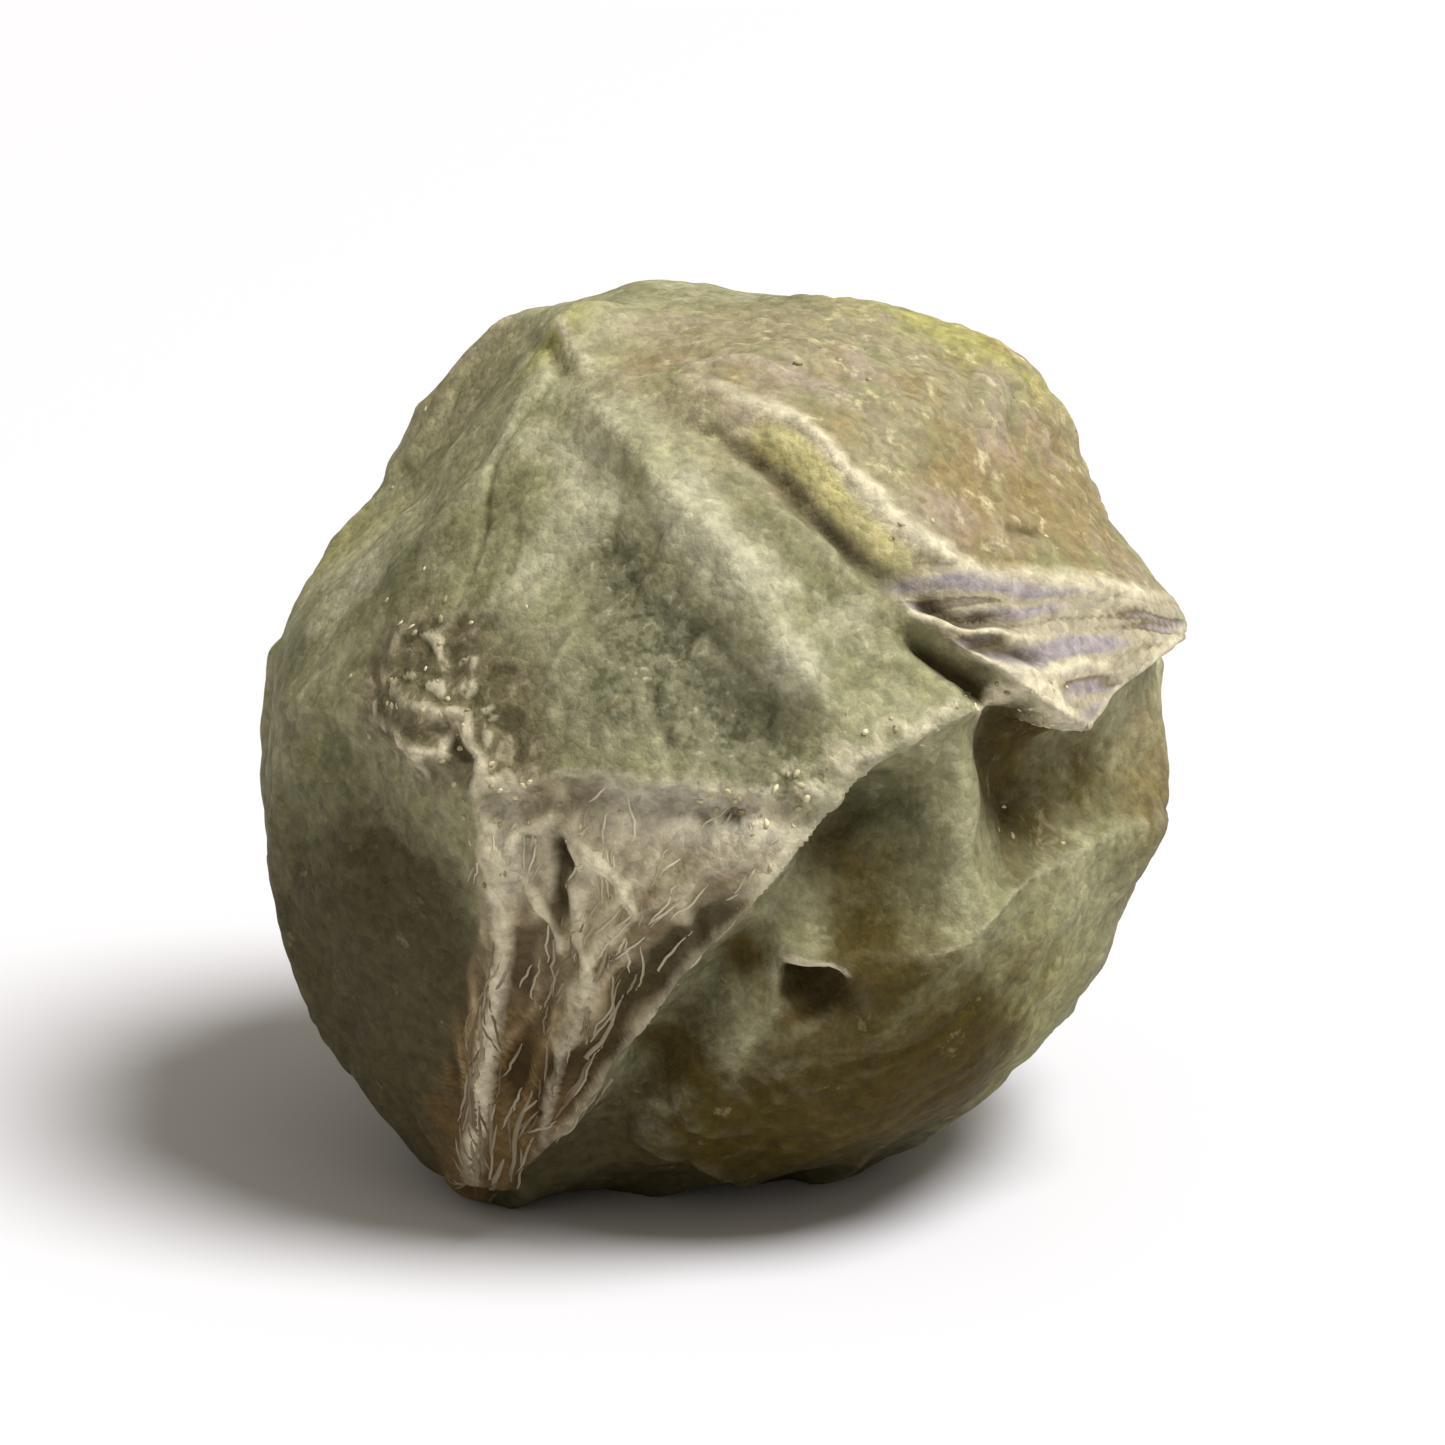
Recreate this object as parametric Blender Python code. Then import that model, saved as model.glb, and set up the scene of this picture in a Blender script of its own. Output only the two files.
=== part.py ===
# Green peppercorn: one dried berry with a folded skin, a raised papery flap and a pointed stem end.
# Metres, +Z up. It rests on a small flat spot, and the middle of its footprint is at the origin.
# Places on the skin are in degrees: longitude 0 faces -Y and grows toward +X, latitude 90 is the top.

import math

import bmesh
import bpy
import numpy as np
from mathutils import Vector, noise

# Driving dimensions
mm = 0.001
body_radius = 2.5 * mm
flat_height = 2.365 * mm
wrinkle_height = 0.17 * mm
wrinkle_cell = 1.25 * mm
wrinkle_crest = 0.16
wrinkle_seed = 1796071527
broad_lump = 0.045 * mm
small_lump = 0.022 * mm
skin_subdivisions = 7
skin_triangles = 11200

# The stem end and the middle of the front, which the named folds cover.
stem_end = (-42, -50)
front_view = (0, 18)

# Broad swellings and hollows: longitude, latitude, reach in degrees, height in mm.
swellings = [
    (-70, 42, 34, -0.24),
    (-102, 38, 17, -0.28),
    (-112, 52, 9, -0.08),
    (-64, -46, 22, 0.30),
    (-42, -50, 10, 0.20),
    (100, 48, 26, 0.10),
    (92, -5, 15, -0.11),
    (97, 30, 9, -0.06),
    (140, 74, 20, -0.08),
    (50, 58, 20, 0.06),
    (64, 44, 14, -0.08),
    (30, -34, 22, 0.14),
    (-62, 2, 24, 0.06),
    (21, 2, 8, -0.34),
    (18, -8, 6, -0.24),
    (27, -6, 6, -0.16),
    (50, 5, 12, -0.38),
    (42, 12.5, 4.5, -0.14),
    (66, 5, 9, -0.14),
    (14, -18.5, 3, -0.20),
    (-17, 39, 6, -0.11),
    (-8, 31, 6, -0.11),
    (4, 19.5, 6.5, -0.16),
    (-50, 0, 11, -0.09),
    (-37, -2, 6, -0.05),
    (-14, -8, 15, -0.12),
    (-84, 74, 6, 0.12),
    (-147, 73, 9, 0.07),
]

# Folds of the skin. A route is longitude, latitude and rise from 0 to 1. Left and right are the widths
# of its two flanks in degrees, and a groove in mm runs on one side at the given distance. Lean tips the
# crest sideways, to the left where it is positive.
folds = [
    dict(
        name="collar",
        route=[(-30, 69, 0), (-7, 67, 0.4), (11, 61.5, 0.8), (18.5, 58.5, 1), (24, 54, 1), (28, 47, 1),
               (35, 39, 0.9), (48, 33, 0.7), (70, 25.5, 0.7), (86, 19.5, 0.1)],
        height=0.16, left=5, right=4.2, sharpness=1.15, lean=-0.03,
        groove=0.13, groove_at=-6.2, groove_width=1.7, groove_span=(0.08, 0.78),
    ),
    dict(
        name="flap edge",
        route=[(29, 33, 0), (35, 26.5, 0.5), (41, 21.5, 0.75), (49.5, 16.5, 1), (57, 17, 1), (66, 18.5, 1),
               (78, 18.5, 1), (90, 16, 0.8)],
        height=0.24, left=9, right=1.8, sharpness=1.2, lean=-0.12,
        groove=0.15, groove_at=-3.2, groove_width=1.6, groove_span=(0.0, 0.38),
    ),
    dict(
        name="front spine",
        route=[(55, 13.5, 1.2), (48, 17, 1.4), (41, 19.5, 1.2), (33, 18.5, 1), (26, 17, 1), (20, 14, 1),
               (14.5, 9.5, 1), (9, 3.5, 1), (3.5, -3.5, 1), (-3, -11, 1), (-9.5, -20, 1), (-16.5, -29, 1),
               (-28, -41, 0.8), (-38, -48.5, 0.2)],
        height=0.17, left=1.8, right=6, sharpness=1.1, lean=0.06,
    ),
    dict(
        name="spine valley",
        route=[(32, 12, 0), (28, 10.5, 0.5), (23.5, 8.5, 0.9), (19, 5, 1), (14, -0.5, 1), (8.5, -7.5, 1),
               (2.5, -15, 1), (-4, -24, 1), (-10, -33, 0.9), (-20, -44, 0.4), (-27, -51, 0)],
        height=-0.25, left=4.5, right=4.5, sharpness=2,
    ),
    dict(
        name="lower lip",
        route=[(10, -12, 0.2), (17.5, -12.5, 0.5), (26.5, -12.5, 0.8), (32.5, -11, 1), (36, -9, 1),
               (43.5, -7.5, 1), (50.5, -7, 1), (58, -5.5, 0.9), (67, -5, 0.5), (80, -8, 0)],
        height=0.12, left=1.8, right=6, sharpness=1.1, lean=0.05,
    ),
    dict(
        name="hollow ridge",
        route=[(36, 16, 0.4), (33, 6, 1), (31, -2, 1), (34, -10, 0.4)],
        height=0.13, left=5, right=7, sharpness=1.9,
    ),
    dict(
        name="right rim",
        route=[(60, -9, 0), (72, -8, 1), (80, -3, 1), (80, 5, 0.6), (78, 12, 0)],
        height=0.09, left=5, right=6, sharpness=1.8,
    ),
    dict(
        name="crown rim",
        route=[(150, 72, 0), (124, 67, 0.8), (108, 57, 1), (101, 46, 1), (98, 32, 0.4), (97, 24, 0)],
        height=0.08, left=7, right=8, sharpness=1.5,
    ),
    dict(
        name="middle ridge",
        route=[(-50, 66, 0), (-30, 61, 0.8), (-15, 54, 1), (-4, 46, 1), (2.5, 40.5, 1), (6, 35, 1),
               (9, 29, 1), (12, 24.5, 1), (15, 21.5, 0.8), (20, 17, 0)],
        height=0.13, left=5, right=4, sharpness=1.5,
    ),
    dict(
        name="knob ridge",
        route=[(-84, 72, 0.6), (-62, 62, 1), (-54, 52, 0.8), (-60, 40, 0.6), (-64, 28, 0)],
        height=0.09, left=6, right=5, sharpness=1.6,
    ),
    dict(
        name="fibre crease",
        route=[(-36, 7, 0), (-28, 9, 0.8), (-18, 12, 1), (-3, 11, 1), (11, 11, 0.7), (16, 10, 0)],
        height=0.06, left=3, right=1.6, sharpness=1.2,
        groove=0.05, groove_at=-2.8, groove_width=1.8, groove_span=(0.1, 0.95),
    ),
    dict(
        name="fibre ridge",
        route=[(-30.5, 9, 0.3), (-29.5, 2, 0.8), (-28, -4, 1), (-28, -13, 1), (-30, -22, 1),
               (-34, -32, 1), (-39, -42, 0.8), (-42, -49, 0.3)],
        height=0.10, left=3, right=3.5, sharpness=1.4,
    ),
    dict(
        name="left brow",
        route=[(-92, 4, 0), (-75.5, 8, 0.7), (-60, 12, 1), (-48, 13.5, 1), (-41, 11.5, 1), (-35, 8.5, 0.8),
               (-31, 4, 0)],
        height=0.08, left=7, right=3, sharpness=1.5,
    ),
    dict(
        name="left fold",
        route=[(-66, 30, 0), (-70, 12, 0.4), (-72, -8, 0.9), (-68, -28, 1), (-60, -46, 0.5)],
        height=0.09, left=5, right=4, sharpness=1.7,
    ),
    dict(
        name="side fold",
        route=[(-70, -44, 0), (-96, -32, 0.8), (-106, -14, 1), (-110, 6, 0.9), (-102, 24, 0)],
        height=0.11, left=6, right=4, sharpness=1.6,
    ),
    dict(
        name="back fold",
        route=[(140, 66, 0), (150, 46, 1), (142, 24, 1), (150, 2, 0.9), (140, -22, 0.9), (150, -44, 0)],
        height=0.17, left=5, right=7, sharpness=1.4, lean=0.03,
    ),
    dict(
        name="far fold",
        route=[(-120, 70, 0), (-136, 50, 1), (-126, 28, 1), (-140, 8, 0.9), (-128, -14, 1), (-110, -38, 0.3)],
        height=0.16, left=7, right=4.5, sharpness=1.4, lean=-0.03,
    ),
    dict(
        name="right fold",
        route=[(104, 22, 0), (108, 8, 1), (102, -8, 1), (112, -26, 0.8), (104, -46, 0)],
        height=0.13, left=5, right=6, sharpness=1.5,
    ),
]


def clear_scene():
    for old in list(bpy.data.objects):
        bpy.data.objects.remove(old, do_unlink=True)


def new_collection(name):
    collection = bpy.data.collections.new(name)
    bpy.context.scene.collection.children.link(collection)
    return collection


def dried_skin_material():
    material = bpy.data.materials.new("dried_green_skin")
    material.use_nodes = True
    shader = material.node_tree.nodes["Principled BSDF"]
    shader.inputs["Base Color"].default_value = (0.262, 0.246, 0.118, 1)
    shader.inputs["Roughness"].default_value = 0.72
    shader.inputs["Metallic"].default_value = 0
    return material


def point_on_sphere(longitude, latitude):
    lon = math.radians(longitude)
    lat = math.radians(latitude)
    return np.array((math.sin(lon) * math.cos(lat), -math.cos(lon) * math.cos(lat), math.sin(lat)))


def smooth_route(route, steps=8):
    # A Catmull-Rom curve through the route's points, each with its rise as a fourth number.
    knots = [np.append(point_on_sphere(lon, lat), rise) for lon, lat, rise in route]
    knots = [2 * knots[0] - knots[1]] + knots + [2 * knots[-1] - knots[-2]]
    line = []
    for before, start, end, after in zip(knots, knots[1:], knots[2:], knots[3:]):
        for t in np.arange(steps) / steps:
            line.append(0.5 * (2 * start + (end - before) * t
                               + (2 * before - 5 * start + 4 * end - after) * t ** 2
                               + (3 * start - before - 3 * end + after) * t ** 3))
    line.append(knots[-2])
    line = np.array(line)
    line[:, :3] /= np.linalg.norm(line[:, :3], axis=1, keepdims=True)
    return line


def across_route(directions, line):
    # For each direction: degrees to the route (left is positive), rise and place along it, way to the left.
    nearest = np.full(len(directions), np.inf)
    signed = np.zeros(len(directions))
    rise = np.zeros(len(directions))
    along = np.zeros(len(directions))
    leftward = np.zeros((len(directions), 3))
    for number, (start, end) in enumerate(zip(line, line[1:])):
        chord = end[:3] - start[:3]
        t = np.clip(((directions - start[:3]) @ chord) / (chord @ chord), 0, 1)
        gap = np.linalg.norm(directions - start[:3] - t[:, None] * chord, axis=1)
        left = np.cross(start[:3], chord)
        left /= np.linalg.norm(left)
        closer = gap < nearest
        nearest[closer] = gap[closer]
        signed[closer] = (np.degrees(gap) * np.where(directions @ left > 0, 1, -1))[closer]
        rise[closer] = (start[3] + t * (end[3] - start[3]))[closer]
        along[closer] = ((number + t) / (len(line) - 1))[closer]
        leftward[closer] = left
    return signed, np.maximum(rise, 0), along, leftward


def smooth_step(value, low, high):
    t = np.clip((value - low) / (high - low), 0, 1)
    return t * t * (3 - 2 * t)


def swelling_heights(directions):
    heights = np.zeros(len(directions))
    for longitude, latitude, reach, height in swellings:
        angle = np.degrees(np.arccos(np.clip(directions @ point_on_sphere(longitude, latitude), -1, 1)))
        heights += height * np.exp(-(angle / reach) ** 2)
    return heights * mm


def fold_shift(directions, fold):
    # Height of one fold over the skin and how far it tips sideways, both in metres.
    signed, rise, along, leftward = across_route(directions, smooth_route(fold["route"]))
    width = np.where(signed > 0, fold["left"], fold["right"])
    profile = rise * np.exp(-(np.abs(signed) / width) ** fold["sharpness"])
    height = fold["height"] * profile
    if "groove" in fold:
        low, high = fold["groove_span"]
        fade = 0.35 * (high - low)
        present = smooth_step(along, low, low + fade) * (1 - smooth_step(along, high - fade, high))
        beside = np.exp(-((signed - fold["groove_at"]) / fold["groove_width"]) ** 2)
        height = height - fold["groove"] * present * beside
    sideways = fold.get("lean", 0) * profile[:, None] * leftward
    return height * mm, sideways * mm


def wrinkle_heights(directions):
    # Sharp ridges round dished cells, drawn out toward the stem end. They cover the back and the underside.
    # The seed is fixed because noise_vector otherwise takes its offsets from the clock.
    noise.seed_set(wrinkle_seed)
    heights = np.zeros(len(directions))
    cell = wrinkle_cell / body_radius
    stem = Vector(point_on_sphere(*stem_end))
    for number, direction in enumerate(directions):
        place = Vector(direction)
        drawn = place - 0.4 * place.dot(stem) * stem
        warped = drawn + 0.30 * noise.noise_vector(place * 1.6) + 0.06 * noise.noise_vector(place * 5)
        first, second = noise.voronoi(warped / cell)[0][:2]
        uneven = 0.75 + 0.5 * noise.noise(place * 3.1)
        heights[number] = uneven * math.exp(-((second - first) / wrinkle_crest) ** 1.35) - 0.40
    behind = smooth_step(-directions @ point_on_sphere(*front_view), 0.05, 0.5)
    below = 0.6 * smooth_step(-directions[:, 2], 0.45, 0.8)
    away_from_stem = 1 - np.exp(-(np.arccos(np.clip(directions @ np.array(stem), -1, 1)) / 0.35) ** 2)
    return wrinkle_height * heights * np.maximum(behind, below) * away_from_stem


def lump_heights(directions):
    # Gentle unevenness everywhere.
    places = [Vector(direction) for direction in directions]
    return np.array([
        broad_lump * noise.noise(place * 2.6) + small_lump * noise.noise(place * 7)
        for place in places
    ])


def skin_points(directions):
    radius = body_radius + swelling_heights(directions) + lump_heights(directions)
    radius = radius + wrinkle_heights(directions)
    sideways = np.zeros_like(directions)
    for fold in folds:
        height, shift = fold_shift(directions, fold)
        radius = radius + height
        sideways = sideways + shift
    return directions * radius[:, None] + sideways


def footprint_middle(points):
    low, high = points.min(axis=0), points.max(axis=0)
    return np.array(((low[0] + high[0]) / 2, (low[1] + high[1]) / 2, -flat_height))


def make_berry(collection):
    shape = bmesh.new()
    bmesh.ops.create_icosphere(shape, subdivisions=skin_subdivisions, radius=1)
    directions = np.array([vertex.co.normalized() for vertex in shape.verts])
    points = skin_points(directions)
    for vertex, point in zip(shape.verts, points - footprint_middle(points)):
        vertex.co = point
    mesh = bpy.data.meshes.new("peppercorn")
    shape.to_mesh(mesh)
    shape.free()
    mesh.shade_smooth()
    mesh.materials.append(dried_skin_material())
    berry = bpy.data.objects.new("peppercorn", mesh)
    collection.objects.link(berry)
    thin = berry.modifiers.new("Fewer faces", "DECIMATE")
    thin.ratio = skin_triangles / len(mesh.polygons)
    return berry


def cut_flat_spot(berry, collection):
    # The block reaches well below and beside the berry, and its top is the plane that the berry rests on.
    size = 4 * body_radius
    shape = bmesh.new()
    bmesh.ops.create_cube(shape, size=size)
    mesh = bpy.data.meshes.new("flat_spot_block")
    shape.to_mesh(mesh)
    shape.free()
    block = bpy.data.objects.new("flat_spot_block", mesh)
    block.location = (0, 0, -size / 2)
    block.hide_render = True
    block.display_type = "WIRE"
    collection.objects.link(block)
    cut = berry.modifiers.new("Flat spot", "BOOLEAN")
    cut.operation = "DIFFERENCE"
    cut.object = block


clear_scene()
parts = new_collection("green_peppercorn")
cutters = new_collection("cutters")
cut_flat_spot(make_berry(parts), cutters)
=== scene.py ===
# One dried green peppercorn on a pale floor: folded skin, papery flap, and fibres at its stem end.
import math
from functools import partial

import bmesh
import bpy
import numpy as np
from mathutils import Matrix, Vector, noise
from mathutils.bvhtree import BVHTree


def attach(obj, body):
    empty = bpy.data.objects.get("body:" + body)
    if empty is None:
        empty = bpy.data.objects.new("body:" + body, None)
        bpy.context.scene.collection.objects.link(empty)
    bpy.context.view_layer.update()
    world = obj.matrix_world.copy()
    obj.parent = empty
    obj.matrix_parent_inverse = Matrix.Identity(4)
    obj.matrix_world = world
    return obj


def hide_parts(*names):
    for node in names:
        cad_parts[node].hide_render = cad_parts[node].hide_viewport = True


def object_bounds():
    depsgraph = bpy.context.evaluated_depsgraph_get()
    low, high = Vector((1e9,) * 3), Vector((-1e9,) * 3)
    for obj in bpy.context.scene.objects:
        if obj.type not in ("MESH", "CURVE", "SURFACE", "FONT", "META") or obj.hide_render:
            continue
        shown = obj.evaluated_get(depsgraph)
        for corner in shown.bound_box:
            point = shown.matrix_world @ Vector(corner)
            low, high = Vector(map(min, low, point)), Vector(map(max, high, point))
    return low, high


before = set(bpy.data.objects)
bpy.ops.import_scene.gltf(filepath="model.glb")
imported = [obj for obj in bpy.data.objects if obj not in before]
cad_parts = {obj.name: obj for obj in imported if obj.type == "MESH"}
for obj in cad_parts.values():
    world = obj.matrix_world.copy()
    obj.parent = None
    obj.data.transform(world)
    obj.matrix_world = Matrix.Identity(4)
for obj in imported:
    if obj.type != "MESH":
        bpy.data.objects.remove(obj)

cadLow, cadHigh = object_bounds()
mm = 0.001

# Places on the berry are longitude and latitude in degrees. Longitude 0 faces the camera's side (-Y)
# and grows to the right, latitude 90 is the top.
berry = {
    "radius": 2.5,             # mm, the round body
    "flatHeight": 2.365,       # mm from the middle down to the surface it rests on
    "stemEnd": (-42, -50),
    "frontView": (0, 18),
    "segments": 127,           # faces along one edge of the rounded cube that the skin starts from
    "frontDetail": 0.18,       # how far the faces are bunched toward the front
    "lumps": [(0.045, 2.6), (0.022, 7)],    # height in mm, and how closely they follow each other
}

# Broad swellings and hollows: longitude, latitude, reach in degrees, height in mm.
swellings = [
    (-70, 42, 34, -0.24),
    (-102, 38, 17, -0.28),
    (-112, 52, 9, -0.08),
    (-64, -46, 22, 0.30),
    (-42, -50, 10, 0.20),
    (100, 48, 26, 0.10),
    (92, -5, 15, -0.11),
    (97, 30, 9, -0.06),
    (140, 74, 20, -0.08),
    (50, 58, 20, 0.06),
    (64, 44, 14, -0.08),
    (30, -34, 22, 0.14),
    (-62, 2, 24, 0.06),
    (21, 2, 8, -0.34),
    (18, -8, 6, -0.24),
    (27, -6, 6, -0.16),
    (50, 5, 12, -0.38),
    (42, 12.5, 4.5, -0.14),
    (66, 5, 9, -0.14),
    (14, -18.5, 3, -0.20),
    (-17, 39, 6, -0.11),
    (-8, 31, 6, -0.11),
    (4, 19.5, 6.5, -0.16),
    (-50, 0, 11, -0.09),
    (-37, -2, 6, -0.05),
    (-14, -8, 15, -0.12),
    (-84, 74, 6, 0.12),
    (-147, 73, 9, 0.07),
]

# Folds: a route of longitude, latitude and rise, the widths of its flanks in degrees, heights in mm.
# Pale is how much of the worn, cream-coloured edge the crest shows, dark how much painted shade its groove
# gets.
# Wobble is how far it wanders sideways in degrees, over a length that is a share of the radius.
plainFold = {"sharpness": 1.4, "lean": 0, "wobble": 0.8, "pale": 0, "paleWidth": 1.3, "dark": 0}
wobbleLength = 0.16
fineWobbleLength = 0.07
folds = {
    "collar": {
        "route": [(-30, 69, 0), (-7, 67, 0.4), (11, 61.5, 0.8), (18.5, 58.5, 1), (24, 54, 1), (28, 47, 1),
                  (35, 39, 0.9), (48, 33, 0.7), (70, 25.5, 0.7), (86, 19.5, 0.1)],
        "height": 0.16, "left": 5, "right": 4.2, "sharpness": 1.15, "lean": -0.03,
        "groove": 0.13, "grooveAt": -6.2, "grooveWidth": 1.7, "grooveSpan": (0.08, 0.78),
        "pale": 0.8, "paleWidth": 1.9, "dark": 0.45,
    },
    "flapEdge": {
        "route": [(29, 33, 0), (35, 26.5, 0.5), (41, 21.5, 0.75), (49.5, 16.5, 1), (57, 17, 1),
                  (66, 18.5, 1), (78, 18.5, 1), (90, 16, 0.8)],
        "height": 0.24, "left": 9, "right": 1.8, "sharpness": 1.2, "lean": -0.12,
        "groove": 0.15, "grooveAt": -3.2, "grooveWidth": 1.6, "grooveSpan": (0.0, 0.38),
        "pale": 0.8, "paleWidth": 0.9, "dark": 1,
    },
    "frontSpine": {
        "route": [(55, 13.5, 1.2), (48, 17, 1.4), (41, 19.5, 1.2), (33, 18.5, 1), (26, 17, 1), (20, 14, 1),
                  (14.5, 9.5, 1), (9, 3.5, 1), (3.5, -3.5, 1), (-3, -11, 1), (-9.5, -20, 1),
                  (-16.5, -29, 1), (-28, -41, 0.8), (-38, -48.5, 0.2)],
        "height": 0.17, "left": 1.8, "right": 6, "sharpness": 1.1, "lean": 0.06,
        "pale": 0.35, "paleWidth": 1.2,
    },
    "spineValley": {
        "route": [(32, 12, 0), (28, 10.5, 0.5), (23.5, 8.5, 0.9), (19, 5, 1), (14, -0.5, 1), (8.5, -7.5, 1),
                  (2.5, -15, 1), (-4, -24, 1), (-10, -33, 0.9), (-20, -44, 0.4), (-27, -51, 0)],
        "height": -0.25, "left": 4.5, "right": 4.5, "sharpness": 2,
    },
    "lowerLip": {
        "route": [(10, -12, 0.2), (17.5, -12.5, 0.5), (26.5, -12.5, 0.8), (32.5, -11, 1), (36, -9, 1),
                  (43.5, -7.5, 1), (50.5, -7, 1), (58, -5.5, 0.9), (67, -5, 0.5), (80, -8, 0)],
        "height": 0.12, "left": 1.8, "right": 6, "sharpness": 1.1, "lean": 0.05,
        "pale": 0.28, "paleWidth": 0.5,
    },
    "hollowRidge": {
        "route": [(36, 16, 0.4), (33, 6, 1), (31, -2, 1), (34, -10, 0.4)],
        "height": 0.13, "left": 5, "right": 7, "sharpness": 1.9, "pale": 0.15,
    },
    "rightRim": {
        "route": [(60, -9, 0), (72, -8, 1), (80, -3, 1), (80, 5, 0.6), (78, 12, 0)],
        "height": 0.09, "left": 5, "right": 6, "sharpness": 1.8, "pale": 0.2,
    },
    "crownRim": {
        "route": [(150, 72, 0), (124, 67, 0.8), (108, 57, 1), (101, 46, 1), (98, 32, 0.4), (97, 24, 0)],
        "height": 0.08, "left": 7, "right": 8, "sharpness": 1.5, "pale": 0.1,
    },
    "middleRidge": {
        "route": [(-50, 66, 0), (-30, 61, 0.8), (-15, 54, 1), (-4, 46, 1), (2.5, 40.5, 1), (6, 35, 1),
                  (9, 29, 1), (12, 24.5, 1), (15, 21.5, 0.8), (20, 17, 0)],
        "height": 0.13, "left": 5, "right": 4, "sharpness": 1.5, "pale": 0.2,
    },
    "knobRidge": {
        "route": [(-84, 72, 0.6), (-62, 62, 1), (-54, 52, 0.8), (-60, 40, 0.6), (-64, 28, 0)],
        "height": 0.09, "left": 6, "right": 5, "sharpness": 1.6, "pale": 0.1,
    },
    "fibreCrease": {
        "route": [(-36, 7, 0), (-28, 9, 0.8), (-18, 12, 1), (-3, 11, 1), (11, 11, 0.7), (16, 10, 0)],
        "height": 0.06, "left": 3, "right": 1.6, "sharpness": 1.2,
        "groove": 0.05, "grooveAt": -2.8, "grooveWidth": 1.8, "grooveSpan": (0.1, 0.95),
        "pale": 0.5, "paleWidth": 0.8, "dark": 0.3,
    },
    "fibreRidge": {
        "route": [(-30.5, 9, 0.3), (-29.5, 2, 0.8), (-28, -4, 1), (-28, -13, 1), (-30, -22, 1),
                  (-34, -32, 1), (-39, -42, 0.8), (-42, -49, 0.3)],
        "height": 0.10, "left": 3, "right": 3.5, "pale": 0.9, "paleWidth": 1.5,
    },
    "leftBrow": {
        "route": [(-92, 4, 0), (-75.5, 8, 0.7), (-60, 12, 1), (-48, 13.5, 1), (-41, 11.5, 1), (-35, 8.5, 0.8),
                  (-31, 4, 0)],
        "height": 0.08, "left": 7, "right": 3, "sharpness": 1.5, "pale": 0.3,
    },
    "leftFold": {
        "route": [(-66, 30, 0), (-70, 12, 0.4), (-72, -8, 0.9), (-68, -28, 1), (-60, -46, 0.5)],
        "height": 0.09, "left": 5, "right": 4, "sharpness": 1.7, "pale": 0.1,
    },
    "sideFold": {
        "route": [(-70, -44, 0), (-96, -32, 0.8), (-106, -14, 1), (-110, 6, 0.9), (-102, 24, 0)],
        "height": 0.11, "left": 6, "right": 4, "sharpness": 1.6, "pale": 0.3,
    },
    "backFold": {
        "route": [(140, 66, 0), (150, 46, 1), (142, 24, 1), (150, 2, 0.9), (140, -22, 0.9), (150, -44, 0)],
        "height": 0.17, "left": 5, "right": 7, "lean": 0.03, "pale": 0.4,
    },
    "farFold": {
        "route": [(-120, 70, 0), (-136, 50, 1), (-126, 28, 1), (-140, 8, 0.9), (-128, -14, 1),
                  (-110, -38, 0.3)],
        "height": 0.16, "left": 7, "right": 4.5, "lean": -0.03, "pale": 0.4,
    },
    "rightFold": {
        "route": [(104, 22, 0), (108, 8, 1), (102, -8, 1), (112, -26, 0.8), (104, -46, 0)],
        "height": 0.13, "left": 5, "right": 6, "sharpness": 1.5, "pale": 0.3,
    },
}

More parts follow.
